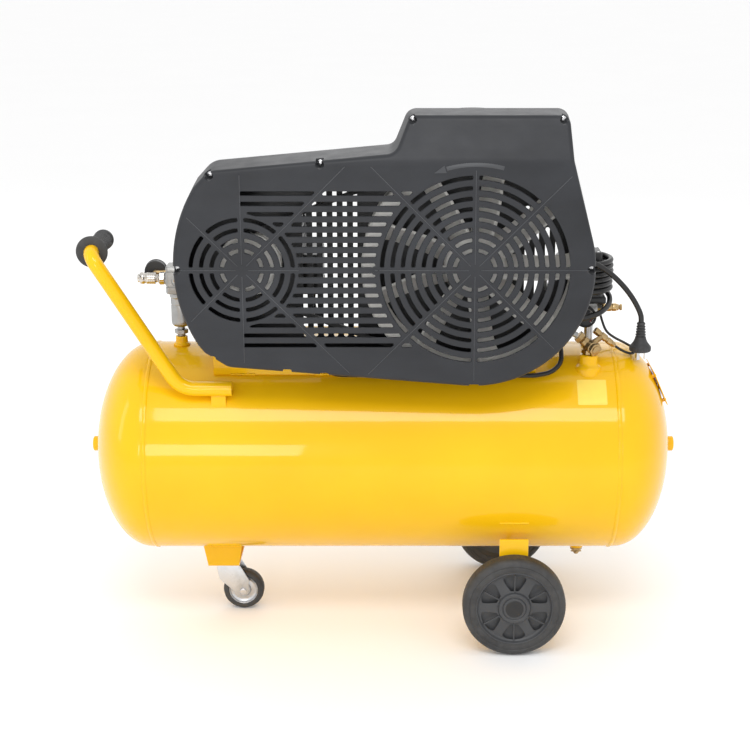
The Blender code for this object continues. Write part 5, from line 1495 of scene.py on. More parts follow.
def make_crankshaft():
    at = (CRANK.x, 0, CRANK.z)
    tip = low("crankshaft").y
    profile = [(0, tip + 0.001), (0.0100, tip + 0.001), (0.0108, tip + 0.0022), (0.0108, -0.1870),
            (0.0115, -0.1862), (0.0115, -0.0508), (0.0440, -0.0505), (0.0450, -0.0495), (0.0450, -0.0380),
            (0.0440, -0.0370), (0, -0.0370)]
    bm = bmesh.new()
    add_round(bm, profile, 0.0004, at, Y, 64)
    pin_z = CRANK.z + 0.022
    add_rod(bm, (CRANK.x, -0.0380, pin_z), (CRANK.x, -0.0270, pin_z), 0.0095, 40)
    as_piece("crank_and_pin", bm, "zinc_steel", "flywheel_set", replaces=("crankshaft",), angle=40)


def make_pulley():
    groove = PULLEY_BELT_R - 0.0008
    bore = 0.0095
    profile = [(bore, -0.0110), (0.0200, -0.0110), (0.0215, -0.0085), (0.0430, -0.0085), (0.0455, -0.0120),
            (0.0465, -0.0130), (0.0512, -0.0130), (0.0520, -0.0118), (0.0520, -0.0078), (groove, -0.0050),
            (groove, 0.0050), (0.0520, 0.0078), (0.0520, 0.0120), (0.0510, 0.0130), (0.0200, 0.0130),
            (0.0200, 0.0170), (bore, 0.0170)]
    # The pulley takes the same pale finish, which is partly painted light for its shaded place inside the
    # guard.
    as_piece("motor_sheave", add_round(bmesh.new(), profile, 0.0006, (MOTOR.x, BELT_Y, CRANK.z), Y, 120),
            "pale_paint_and_painted_light", "motor_rotor", replaces=("motor_pulley",), angle=34)
    as_piece("sheave_bolt", add_round(bmesh.new(), [(0, -0.0185), (0.0068, -0.0185), (0.0075, -0.0175),
            (0.0075, -0.0145), (0.0145, -0.0135), (0.0145, -0.0115), (0, -0.0115)], 0.0005,
            (MOTOR.x, BELT_Y, CRANK.z), Y, 48), "screw_steel", "motor_rotor")


def make_belt():
    """A V-belt round both pulleys, with moulded cogs on its inner side."""
    span = CRANK.x - MOTOR.x
    tilt = math.acos((BELT_R - PULLEY_BELT_R) / span)
    pieces = []
    for centre_x, radius, start, end in ((CRANK.x, BELT_R, math.pi + tilt, 3 * math.pi - tilt),
            (MOTOR.x, PULLEY_BELT_R, math.pi - tilt, math.pi + tilt)):
        steps = max(12, round((end - start) * radius / 0.0045))
        for i in range(steps + 1):
            angle = start + (end - start) * i / steps
            pieces.append((Vector((centre_x, CRANK.z)), radius, angle))
    points = []
    for (centre, radius, angle), (centre2, radius2, angle2) in zip(pieces, pieces[1:] + pieces[:1]):
        normal = Vector((math.cos(angle), math.sin(angle)))
        here = centre + normal * radius
        points.append((here, normal))
        normal2 = Vector((math.cos(angle2), math.sin(angle2)))
        there = centre2 + normal2 * radius2
        gap = (there - here).length
        extra = round(gap / 0.0045) - 1
        for k in range(1, extra + 1):
            share = k / (extra + 1)
            points.append((here.lerp(there, share), normal.lerp(normal2, share).normalized()))
    bm = bmesh.new()
    rings = []
    for index, (here, normal) in enumerate(points):
        cog = 0.0006 if index % 2 else 0.0
        section = [(cog, -0.0041), (cog, 0.0041), (BELT_THICK - 0.0010, 0.0064), (BELT_THICK, 0.0060),
                (BELT_THICK, -0.0060), (BELT_THICK - 0.0010, -0.0064)]
        rings.append([bm.verts.new((here.x + normal.x * out, BELT_Y + y, here.y + normal.y * out)) for out,
                y in section])
    for first, second in zip(rings, rings[1:] + rings[:1]):
        for i in range(len(first)):
            j = (i + 1) % len(first)
            bm.faces.new((first[i], first[j], second[j], second[i]))
    as_piece("v_belt", bm, "belt_rubber", replaces=("drive_belt",), angle=35)


FIN_SHARE = 0.42                  # width of a motor fin, as a share of the pitch


def finned(count, deep):
    """Lengthwise cooling fins: a radius that steps in between them."""
    def shape(angle, radius, height):
        wave = (angle * count / (2 * math.pi)) % 1.0
        return radius if wave < FIN_SHARE else radius - deep
    return shape


def make_motor():
    front = -0.095
    at = (MOTOR.x, 0, CRANK.z)
    radius = 0.082
    bm = bmesh.new()
    shell = [(0.0125, front), (0.0290, front), (0.0300, front + 0.0030), (0.0340, front + 0.0060),
            (radius - 0.0160, front + 0.0075), (radius - 0.0060, front + 0.0120),
            (radius - 0.0030, front + 0.0190), (radius - 0.0030, front + 0.0270),
            (radius - 0.0062, front + 0.0275), (radius - 0.0062, 0.0990), (radius - 0.0030, 0.0995),
            (radius - 0.0030, 0.1090), (radius - 0.0060, 0.1120), (0.0125, 0.1120)]
    add_round(bm, shell, 0.0010, at, Y, 120)
    add_turned(bm, [(0.0500, front + 0.0300), (radius, front + 0.0300), (radius, 0.0960), (0.0500, 0.0960)],
            at, Y, 384, finned(48, 0.0058))
    as_piece("motor_housing", bm, "motor_alloy", replaces=("motor_body",), angle=34)
    floor = high("platform").z
    bm = bmesh.new()
    x = MOTOR.x
    add_box(bm, (x - 0.060, -0.070, floor + 0.0003), (x - 0.022, 0.080, floor + 0.008), 0.0012)
    add_box(bm, (x + 0.022, -0.070, floor + 0.0003), (x + 0.060, 0.080, floor + 0.008), 0.0012)
    for y in (-0.056, 0.058):
        add_prism(bm, rounded([(x - 0.050, floor + 0.006, 0), (x + 0.050, floor + 0.006, 0),
                (x + 0.044, CRANK.z - 0.058, 0.003), (x - 0.044, CRANK.z - 0.058, 0.003)]), y - 0.006,
                y + 0.006, "XZ", 0.0008)
    as_piece("motor_feet", bm, "motor_alloy")
    bm = bmesh.new()
    for dx in (-0.045, 0.045):
        for y in (-0.040, 0.055):
            add_round(bm, [(0, 0), (0.0085, 0), (0.0085, 0.0014), (0, 0.0014)], 0.0003,
                    (x + dx, y, floor + 0.008), Z, 32)
            add_round(bm, [(0, 0.0014), (0.0065, 0.0014), (0.0065, 0.0060), (0.0055, 0.0066), (0, 0.0066)],
                    0.0005, (x + dx, y, floor + 0.008), Z, 6)
    as_piece("motor_bolts", bm, "zinc_steel")
    bm = bmesh.new()
    add_box(bm, (x + 0.068, -0.055, CRANK.z - 0.075), (x + 0.108, 0.065, CRANK.z - 0.005), 0.0030, 3)
    add_box(bm, (x + 0.104, -0.053, CRANK.z - 0.073), (x + 0.112, 0.063, CRANK.z - 0.007), 0.0026, 3)
    as_piece("terminal_box", bm, "black_plastic", angle=40)
    bm = bmesh.new()
    for y in (-0.045, 0.055):
        for z in (-0.066, -0.014):
            spot = Vector((x + 0.1116, y, CRANK.z + z))
            add_round(bm, [(0, 0), (0.0034, 0), (0.0030, 0.0012), (0, 0.0014)], 0.0003, spot, X, 20)
    as_piece("terminal_screws", bm, "screw_steel")
    shaft = [(0, -0.1650), (0.0075, -0.1650), (0.0090, -0.1635), (0.0090, 0.1150), (0.0150, 0.1155),
            (0.0150, 0.1200), (0.0150, 0.1330), (0, 0.1330)]
    as_piece("motor_spindle", add_round(bmesh.new(), shaft, 0.0004, at, Y, 40), "zinc_steel", "motor_rotor",
            replaces=("motor_shaft",), angle=40)
    bm = bmesh.new()
    add_round(bm, [(0.0150, 0.1205), (0.0600, 0.1228), (0.0600, 0.1248), (0.0150, 0.1235)], 0.0004, at, Y,
            72)
    for k in range(8):
        spin = Matrix.Rotation(math.radians(45 * k), 3, "Y")
        centre = Vector(at) + spin @ Vector((0.0365, 0.1265, 0))
        add_box(bm, centre - Vector((0.0215, 0.0030, 0.0009)), centre + Vector((0.0215, 0.0030, 0.0009)),
                0.0004, 1, spin)
    as_piece("motor_fan", bm, "black_plastic", "motor_rotor")
    make_fan_cover(at, radius)


def make_fan_cover(at, radius):
    cover = [(radius - 0.0030, 0.1124), (radius, 0.1124), (radius, 0.1440), (radius - 0.0012, 0.1500),
            (radius - 0.0060, 0.1545), (radius - 0.0120, 0.1560), (0.0100, 0.1560), (0.0100, 0.1535),
            (radius - 0.0130, 0.1535), (radius - 0.0045, 0.1480), (radius - 0.0030, 0.1430)]
    bm = bmesh.new()
    add_turned(bm, cover, (0, 0, 0), Z, 120)
    tool = bmesh.new()
    for ring in range(4):
        inner = 0.0180 + 0.0125 * ring
        outer = inner + 0.0075
        sectors = 6
        for k in range(sectors):
            start = 360 / sectors * k
            rib = math.degrees(0.0024 / inner)
            outline = arc((0, 0), outer, start + rib, start + 360 / sectors - rib, 10)
            outline += arc((0, 0), inner, start + 360 / sectors - rib, start + rib, 10)
            add_loft(tool, [(outline, 0.1500), (outline, 0.1551), (offset_outline(outline, 0.0010),
                    0.1562)], "XY")
    bm = boolean(bm, tool)
    bmesh.ops.transform(bm, matrix=frame_of(at, Y), verts=bm.verts)
    as_piece("motor_fan_cowl", bm, "black_plastic", replaces=("motor_fan_cover",), angle=34)
    bm = bmesh.new()
    for k in range(4):
        a = math.radians(45 + 90 * k)
        out = Vector((math.cos(a), 0, math.sin(a)))
        spot = Vector(at) + Y * 0.1190 + out * (radius - 0.0006)
        add_round(bm, [(0, 0), (0.0036, 0), (0.0032, 0.0014), (0, 0.0018)], 0.0004, spot, out, 20)
    as_piece("cowl_screws", bm, "screw_steel")


# ---------------------------------------------------------------- pump
PISTON_Y = -0.020
HEAD_PORT_Z = 0.850               # height of the delivery port in the cylinder head


def add_bolt(bm, place, along, size, rise=0.0042):
    """A hexagon bolt head on its washer."""
    wide = size * 1.35
    seat = 0.0011
    top = seat + rise
    add_round(bm, [(0, 0), (wide, 0), (wide, seat), (0, seat)], 0.0003, place, along, 28)
    head = [(0, seat), (size, seat), (size, top - 0.0006), (size - 0.0007, top), (0, top)]
    add_round(bm, head, 0.0003, place, along, 6)


def make_crankcase():
    x = CRANK.x
    floor = low("crankcase").z
    top = 0.745
    outline = rounded([(x - 0.075, floor, 0.002), (x + 0.075, floor, 0.002),
            (x + 0.075, floor + 0.014, 0.005), (x + 0.060, 0.600, 0.020), (x + 0.062, top, 0.014),
            (x - 0.062, top, 0.014), (x - 0.060, 0.600, 0.020), (x - 0.075, floor + 0.014, 0.005)])
    bm = bmesh.new()
    add_prism(bm, outline, -0.080, 0.035, "XZ", 0.0030)
    bm = boolean(bm, add_round(bmesh.new(), [(0, 0), (0.0320, 0), (0.0340, 0.0040), (0.0380, 0.0230),
            (0, 0.0230)], 0.0020, (x, -0.100, CRANK.z), Y, 72), "UNION")
    bm = boolean(bm, add_rod(bmesh.new(), (x, PISTON_Y, CRANK.z), (x, PISTON_Y, 0.80), 0.0337, 64, 0))
    bm = boolean(bm, add_rod(bmesh.new(), (x, -0.0560, CRANK.z), (x, 0.0170, CRANK.z), 0.0500, 64, 0))
    bm = boolean(bm, add_rod(bmesh.new(), (x, -0.2, CRANK.z), (x, -0.04, CRANK.z), 0.0122, 48, 0))
    as_piece("pump_crankcase", bm, "cast_grey", replaces=("crankcase",), angle=34)
    cover = [(0, 0), (0.0520, 0), (0.0530, 0.0010), (0.0530, 0.0040), (0.0500, 0.0062), (0.0360, 0.0070),
            (0.0340, 0.0090), (0, 0.0095)]
    as_piece("crankcase_cover", add_round(bmesh.new(), cover, 0.0012, (x, 0.0350, CRANK.z), Y, 96),
            "cast_grey")
    bm = bmesh.new()
    for k in range(6):
        a = math.radians(30 + 60 * k)
        add_bolt(bm, (x + 0.0445 * math.cos(a), 0.0405, CRANK.z + 0.0445 * math.sin(a)), Y, 0.0046)
    for dx in (-0.067, 0.067):
        for y in (-0.066, 0.022):
            add_bolt(bm, (x + dx, y, floor + 0.0140), Z, 0.0052, 0.0046)
    as_piece("pump_bolts", bm, "zinc_steel")
    as_piece("oil_sight_ring", add_round(bmesh.new(), [(0.0070, 0), (0.0115, 0), (0.0125, 0.0015),
            (0.0125, 0.0045), (0.0070, 0.0050)], 0.0006, (x + 0.036, 0.0350, 0.5650), Y, 48), "alloy")
    as_piece("oil_sight_lens", add_round(bmesh.new(), [(0, 0.0004), (0.0071, 0.0004), (0.0069, 0.0036),
            (0.0040, 0.0044), (0, 0.0046)], 0.0004, (x + 0.036, 0.0350, 0.5650), Y, 40), "brass")
    as_piece("oil_filler_cap", add_round(bmesh.new(), [(0, 0), (0.0095, 0), (0.0095, 0.0040),
            (0.0110, 0.0050), (0.0110, 0.0150), (0.0090, 0.0170), (0, 0.0170)], 0.0010,
            (x - 0.040, 0.0350, 0.7200), Y, 48), "black_plastic")


def make_cylinder():
    base = low("cylinder").z
    height = high("cylinder").z - base
    bore = 0.0331
    profile = [(bore, 0), (0.0560, 0), (0.0560, 0.0075), (0.0445, 0.0090)]
    fins = 6
    for k in range(fins):
        z = 0.0135 + 0.0100 * k
        profile += [(0.0440, z - 0.0010), (0.0440, z), (0.0565, z + 0.0008), (0.0570, z + 0.0014),
                (0.0565, z + 0.0020), (0.0440, z + 0.0030)]
    profile += [(0.0445, height - 0.0075), (0.0520, height - 0.0060), (0.0520, height), (bore, height)]
    as_piece("pump_cylinder", add_turned(bmesh.new(), profile, (CRANK.x, PISTON_Y, base), Z, 120),
            "black_iron", replaces=("cylinder",), angle=34)


def make_head():
    x = CRANK.x
    low_z = low("cylinder_head").z
    top = high("cylinder_head").z
    half_x, half_y = 0.054, 0.052
    bm = bmesh.new()
    outline = rectangle(x - half_x, PISTON_Y - half_y, x + half_x, PISTON_Y + half_y, 0.006)
    add_prism(bm, outline, low_z, low_z + 0.0110, "XY", 0.0008)
    upper = rectangle(x - half_x + 0.004, PISTON_Y - half_y + 0.004, x + half_x - 0.004,
            PISTON_Y + half_y - 0.004, 0.006)
    block = bmesh.new()
    add_prism(block, upper, low_z + 0.0100, top - 0.0015, "XY", 0.0016)
    tool = bmesh.new()
    for k in range(9):
        middle_x = x - 0.040 + 0.010 * k
        for near, far in ((PISTON_Y - 0.07, PISTON_Y - 0.030), (PISTON_Y + 0.030, PISTON_Y + 0.07)):
            add_box(tool, (middle_x - 0.0030, near, low_z + 0.0160), (middle_x + 0.0030, far, top + 0.01))
    block = boolean(block, tool)
    bm = boolean(bm, block, "UNION")
    bm = boolean(bm, add_round(bmesh.new(), [(0, 0), (0.0110, 0), (0.0100, 0.0015), (0.0100, 0.0105),
            (0, 0.0105)], 0.0006, (x + 0.0490, PISTON_Y, HEAD_PORT_Z), X, 40), "UNION")
    as_piece("pump_head", bm, "alloy", replaces=("cylinder_head",), angle=34)
    end = high("cylinder_head").x
    as_piece("head_union_nut", add_round(bmesh.new(), [(0.0053, -0.0060), (0.0110, -0.0060), (0.0110, 0.0),
            (0.0053, 0.0)], 0.0006, (end, PISTON_Y, HEAD_PORT_Z), X, 6), "brass")
    bm = bmesh.new()
    for dx in (-0.046, 0.046):
        for dy in (-0.044, 0.044):
            add_bolt(bm, (x + dx, PISTON_Y + dy, top - 0.0016), Z, 0.0052, 0.0050)
    as_piece("head_bolts", bm, "zinc_steel")
    base = low("air_filter").z
    height = high("air_filter").z - base
    profile = [(0, 0), (0.0120, 0), (0.0120, 0.0055), (0.0335, 0.0085), (0.0340, 0.0100), (0.0340, 0.0140)]

    def louvre(angle, radius, z):
        if 0.0150 < z < height - 0.0120 and radius > 0.02:
            return radius - 0.0022 * ((angle * 36 / (2 * math.pi)) % 1.0 > 0.5)
        return radius

    profile += [(0.0335, 0.0150), (0.0335, 0.0160), (0.0335, height - 0.0130), (0.0340, height - 0.0115),
            (0.0340, height - 0.0050), (0.0322, height - 0.0016), (0.0295, height), (0.0120, height),
            (0.0110, height - 0.0010), (0, height - 0.0010)]
    as_piece("filter_canister", add_turned(bmesh.new(), profile, (x, PISTON_Y, base), Z, 288, louvre),
            "black_plastic", replaces=("air_filter",), angle=34)


# ---------------------------------------------------------------- fittings at the plug end
VALVE = Vector((0.3565, -0.0800, 0.5250))
POST_X = 0.364


def add_nut(bm, start, along, radius, depth, bore=0.0):
    """A hexagon nut with chamfered ends."""
    chamfer = radius * 0.10
    profile = [(bore, 0), (radius - chamfer, 0), (radius, chamfer * 0.7), (radius, depth - chamfer * 0.7),
            (radius - chamfer, depth), (bore, depth)]
    add_turned(bm, profile, start, along, 6)


THREAD_PITCH = 0.0012


def add_thread(bm, start, along, radius, depth):
    """A threaded stub: rings of small teeth between its two ends."""
    profile = [(0, 0), (radius - THREAD_PITCH * 0.5, 0)]
    turns = max(2, int(depth / THREAD_PITCH))
    for k in range(turns):
        h = depth * (k + 0.5) / turns
        profile += [(radius, h), (radius - THREAD_PITCH * 0.5, h + depth * 0.5 / turns)]
    profile += [(0, depth)]
    add_turned(bm, profile, start, along, 36)


def make_check_valve():
    bm = bmesh.new()
    base = low("check_valve").z
    at = Vector((VALVE.x, VALVE.y, base))
    add_nut(bm, at + Z * 0.0008, Z, 0.0125, 0.0085)
    body = [(0, 0), (0.0080, 0), (0.0080, 0.0094), (0.0108, 0.0102), (0.0112, 0.0120), (0.0108, 0.0190),
            (0.0098, 0.0225), (0.0070, 0.0240), (0, 0.0243)]
    add_round(bm, body, 0.0006, at, Z, 48)
    forward = Vector((0.52, -0.82, -0.22)).normalized()
    barrel = [(0, -0.0060), (0.0100, -0.0060), (0.0108, -0.0050), (0.0108, 0.0110), (0.0096, 0.0118),
            (0.0096, 0.0140), (0, 0.0140)]
    add_round(bm, barrel, 0.0005, VALVE, forward, 48)
    add_nut(bm, VALVE + forward * 0.0138, forward, 0.0124, 0.0065)
    add_round(bm, [(0, 0), (0.0080, 0), (0.0076, 0.0014), (0, 0.0017)], 0.0003, VALVE + forward * 0.0203,
            forward, 36)
    upward = Vector((-0.74, 0.02, 0.67)).normalized()
    add_round(bm, [(0, 0), (0.0086, 0), (0.0086, 0.0145), (0, 0.0145)], 0.0005, VALVE, upward, 40)
    add_thread(bm, VALVE + upward * 0.0140, upward, 0.0080, 0.0050)
    add_nut(bm, VALVE + upward * 0.0175, upward, 0.0106, 0.0090)
    start = Vector((0.3685, -0.0550, 0.5465))
    end = Vector((0.3985, -0.0550, 0.5225))
    away = (end - start).normalized()
    middle_spot = start.lerp(end, 0.5)
    neck = VALVE + Z * 0.0010
    add_rod(bm, neck, middle_spot - (middle_spot - neck).normalized() * 0.0069, 0.0047, 32)
    as_piece("check_valve_body", bm, "brass", replaces=("check_valve",), angle=38)
    bm = bmesh.new()
    length = (end - start).length
    valve = [(0, 0), (0.0052, 0), (0.0062, 0.0010), (0.0062, length * 0.28), (0.0050, length * 0.30),
            (0.0050, length * 0.36), (0.0064, length * 0.38), (0.0064, length * 0.66),
            (0.0050, length * 0.68), (0.0050, length * 0.75), (0.0058, length * 0.77),
            (0.0058, length - 0.0010), (0.0050, length), (0, length)]
    add_round(bm, valve, 0.0004, start, away, 40)
    add_nut(bm, end - away * 0.0010, away, 0.0056, 0.0060)
    add_turned(bm, [(0, 0.0050), (0.0036, 0.0050), (0.0036, 0.0078), (0, 0.0078)], end, away, 28)
    as_piece("unloader_body", bm, "brass", replaces=("unloader_valve",), angle=38)


def make_post_and_manifold():
    base = low("switch_post").z
    top = high("switch_post").z
    bm = bmesh.new()
    height = top - base
    add_nut(bm, (POST_X, 0, base), Z, 0.0125, 0.0075)
    pipe = [(0, 0.0060), (0.0078, 0.0060), (0.0078, height - 0.0150), (0.0070, height - 0.0145)]
    for k in range(8):
        h = height - 0.0138 + 0.0015 * k
        pipe += [(0.0078, h), (0.0071, h + 0.00075)]
    pipe += [(0.0078, height), (0, height)]
    add_turned(bm, pipe, (POST_X, 0, base), Z, 40)
    as_piece("switch_riser", bm, "zinc_steel", replaces=("switch_post",), angle=38)
    low_z, top_z, axis_z = 0.5600, 0.5850, 0.5735
    block = bmesh.new()
    outline = rectangle(POST_X - 0.016, -0.014, POST_X + 0.014, 0.014, 0.003)
    add_prism(block, outline, low_z, top_z, "XY", 0.0014)
    block = boolean(block, add_box(bmesh.new(), (POST_X - 0.02, 0.0118, low_z + 0.005),
            (POST_X + 0.02, 0.02, top_z - 0.005)))
    add_nut(block, (POST_X + 0.0135, 0, axis_z), X, 0.0092, 0.0082)
    add_round(block, [(0, 0), (0.0068, 0), (0.0062, 0.0035), (0, 0.0037)], 0.0004,
            (POST_X - 0.001, 0.0117, axis_z), Y, 6)
    as_piece("manifold_block", block, "alloy", replaces=("manifold",), angle=36)
    start = low("safety_valve").x
    bm = bmesh.new()
    add_nut(bm, (start, 0, axis_z), X, 0.0082, 0.0065)
    barrel = [(0, 0.0060), (0.0060, 0.0060), (0.0060, 0.0076), (0.0072, 0.0082), (0.0072, 0.0160),
            (0.0063, 0.0166), (0.0063, 0.0180), (0.0070, 0.0186), (0.0070, 0.0250), (0.0058, 0.0268),
            (0.0058, 0.0290), (0.0048, 0.0300), (0, 0.0300)]
    add_round(bm, barrel, 0.0004, (start, 0, axis_z), X, 44)
    as_piece("safety_valve_body", bm, "brass", replaces=("safety_valve",), angle=38)
    pull = low("safety_pull").x
    ring = [(0, 0), (0.0034, 0), (0.0034, 0.0010), (0.0052, 0.0014), (0.0056, 0.0022), (0.0056, 0.0044),
            (0.0050, 0.0053), (0, 0.0055)]
    as_piece("safety_stem_pull", add_round(bmesh.new(), ring, 0.0003, (pull, 0, axis_z), X, 72,
            lambda angle, radius, height: radius - 0.0003 * ((angle * 18 / (2 * math.pi)) % 1.0 > 0.5)
            if radius > 0.005 else radius), "brass", "safety_stem", replaces=("safety_pull",), angle=34)


def make_gauge(prefix, node, at, along, radius, stem, depth, face_mat="dial_white", mark_mat="dial_mark"):
    """A dial gauge: dark case, pale dial, graduations, a red sector and a needle."""
    at = Vector(at)
    back = depth - 0.0160
    profile = [(0, 0)]
    if stem:
        profile += [(stem, 0), (stem, back - 0.0020)]
    lip = radius - 0.0028
    profile += [(radius - 0.0015, back - 0.0005), (radius - 0.0006, back + 0.0008),
            (radius - 0.0006, depth - 0.0060), (radius, depth - 0.0056), (radius, depth - 0.0014),
            (radius - 0.0010, depth), (lip + 0.0004, depth), (lip, depth - 0.0008), (lip, depth - 0.0034),
            (0, depth - 0.0034)]
    as_piece(prefix + "_case", add_round(bmesh.new(), profile, 0.0005, at, along, 72), "black_plastic",
            replaces=(node,), angle=36)
    face = depth - 0.0031
    as_piece(prefix + "_dial", add_turned(bmesh.new(), [(0, face - 0.0002), (lip - 0.0002, face - 0.0002),
            (lip - 0.0002, face + 0.0002), (0, face + 0.0002)], at, along, 64), face_mat)
    up = Z
    right = up.cross(along)
    marks = bmesh.new()
    for k in range(31):
        major = k % 5 == 0
        length = lip * (0.20 if major else 0.10)
        wide = 0.00032 if major else 0.00018
        add_mark(marks, at, along, right, up, 225 - 9 * k, lip * 0.93 - length, lip * 0.93, wide,
                face + 0.00035)
    as_piece(prefix + "_ticks", marks, mark_mat)
    red = bmesh.new()
    for k in range(6):
        add_mark(red, at, along, right, up, -18 - 5 * k, lip * 0.66, lip * 0.74, 0.0009, face + 0.00035)
    as_piece(prefix + "_red_sector", red, "dial_red")
    needle = bmesh.new()
    add_mark(needle, at, along, right, up, 225, -lip * 0.22, lip * 0.78, 0.00042, face + 0.0011)
    add_round(needle, [(0, 0), (0.0019, 0), (0.0017, 0.0012), (0, 0.0015)], 0.0003, at + along * face,
            along, 28)
    as_piece(prefix + "_needle", needle, mark_mat)


def add_mark(bm, at, along, right, up, degrees, near, far, half_width, height):
    angle = math.radians(degrees)
    radial = right * math.cos(angle) + up * math.sin(angle)
    tangent = along.cross(radial)
    turn = Matrix((radial, tangent, along)).transposed()
    centre = at + radial * ((near + far) / 2) + along * height
    half = Vector(((far - near) / 2, half_width, 0.00018))
    add_box(bm, centre - half, centre + half, 0, 1, turn)


def make_pressure_switch():
    x, y = COIL_CENTRE
    base = low("pressure_switch").z
    top = high("pressure_switch").z
    bm = bmesh.new()
    foot = rectangle(x - 0.033, y - 0.031, x + 0.036, y + 0.031, 0.005)
    add_prism(bm, foot, base, base + 0.0106, "XY", 0.0016)
    cover = bmesh.new()
    outline = rectangle(x - 0.0270, y - 0.0270, x + 0.0270, y + 0.0270, 0.004)
    small = offset_outline(outline, -0.0012)
    add_loft(cover, [(outline, base + 0.0090), (outline, base + 0.0180), (small, base + 0.0185),
            (small, base + 0.0205), (outline, base + 0.0210), (outline, top - 0.0040),
            (offset_outline(outline, -0.0008), top - 0.0016), (offset_outline(outline, -0.0026),
            top - 0.0003), (offset_outline(outline, -0.0036), top)], "XY")
    tool = bmesh.new()
    for k in range(5):
        shift = -0.0160 + 0.0080 * k
        add_box(tool, (x + shift - 0.0018, y - 0.03, base + 0.030), (x + shift + 0.0018, y - 0.0262,
                top - 0.012))
        add_box(tool, (x + shift - 0.0018, y + 0.0262, base + 0.030), (x + shift + 0.0018, y + 0.03,
                top - 0.012))
    cover = boolean(cover, tool)
    bm = boolean(bm, cover, "UNION")
    as_piece("switch_housing", bm, "black_plastic", replaces=("pressure_switch",), angle=34)
    bm = bmesh.new()
    for dx in (-0.0205, 0.0205):
        for dy in (-0.0205, 0.0205):
            add_round(bm, [(0, -0.0006), (0.0026, -0.0006), (0.0024, 0.0004), (0.0010, 0.0007),
                    (0, 0.0003)], 0.0002, (x + dx, y + dy, top - 0.0002), Z, 24)
    as_piece("switch_screws", bm, "screw_steel")
    make_strain_relief((x - 0.0330, 0, 0.5910), -X, 0.0220)
    knob_base = low("switch_knob").z
    knob = [(0, 0), (0.0060, 0), (0.0060, 0.0056), (0.0105, 0.0072), (0.0110, 0.0084), (0.0110, 0.0172),
            (0.0100, 0.0192), (0.0080, 0.0198), (0.0040, 0.0192), (0, 0.0190)]
    as_piece("switch_pull_knob", add_round(bmesh.new(), knob, 0.0006, (x, y, knob_base), Z, 96,
            lambda angle, radius, height: radius - 0.0007 * ((angle * 16 / (2 * math.pi)) % 1.0 > 0.6)
            if radius > 0.0100 and 0.008 < height < 0.0185 else radius), "black_plastic", "switch_button",
            replaces=("switch_knob",), angle=34)


def make_strain_relief(at, along, length):
    """A ribbed sleeve that tapers from the gland nut down to the cord it grips."""
    at = Vector(at)
    bm = bmesh.new()
    add_nut(bm, at - along * 0.0010, along, 0.0098, 0.0055)
    profile = [(0, 0.0030), (0.0076, 0.0030), (0.0076, 0.0058)]
    ribs = 6
    step = (length - 0.0062) / ribs
    for k in range(ribs):
        start = 0.0060 + step * k
        wide = 0.0074 - (0.0074 - 0.0054) * k / (ribs - 1)
        profile += [(wide - 0.0011, start), (wide, start + 0.0004), (wide, start + step * 0.60),
                (wide - 0.0011, start + step * 0.68)]
    profile += [(0.0050, length - 0.0002), (0, length - 0.0002)]
    add_turned(bm, profile, at, along, 40)
    as_piece("cord_strain_relief", bm, "black_rubber", angle=36)


# ---------------------------------------------------------------- fittings at the handle end
def knurled(count, deep, near, far, least):
    def shape(angle, radius, height):
        if radius < least or not near < height < far:
            return radius
        return radius - deep * ((angle * count / (2 * math.pi)) % 1.0 > 0.5)
    return shape


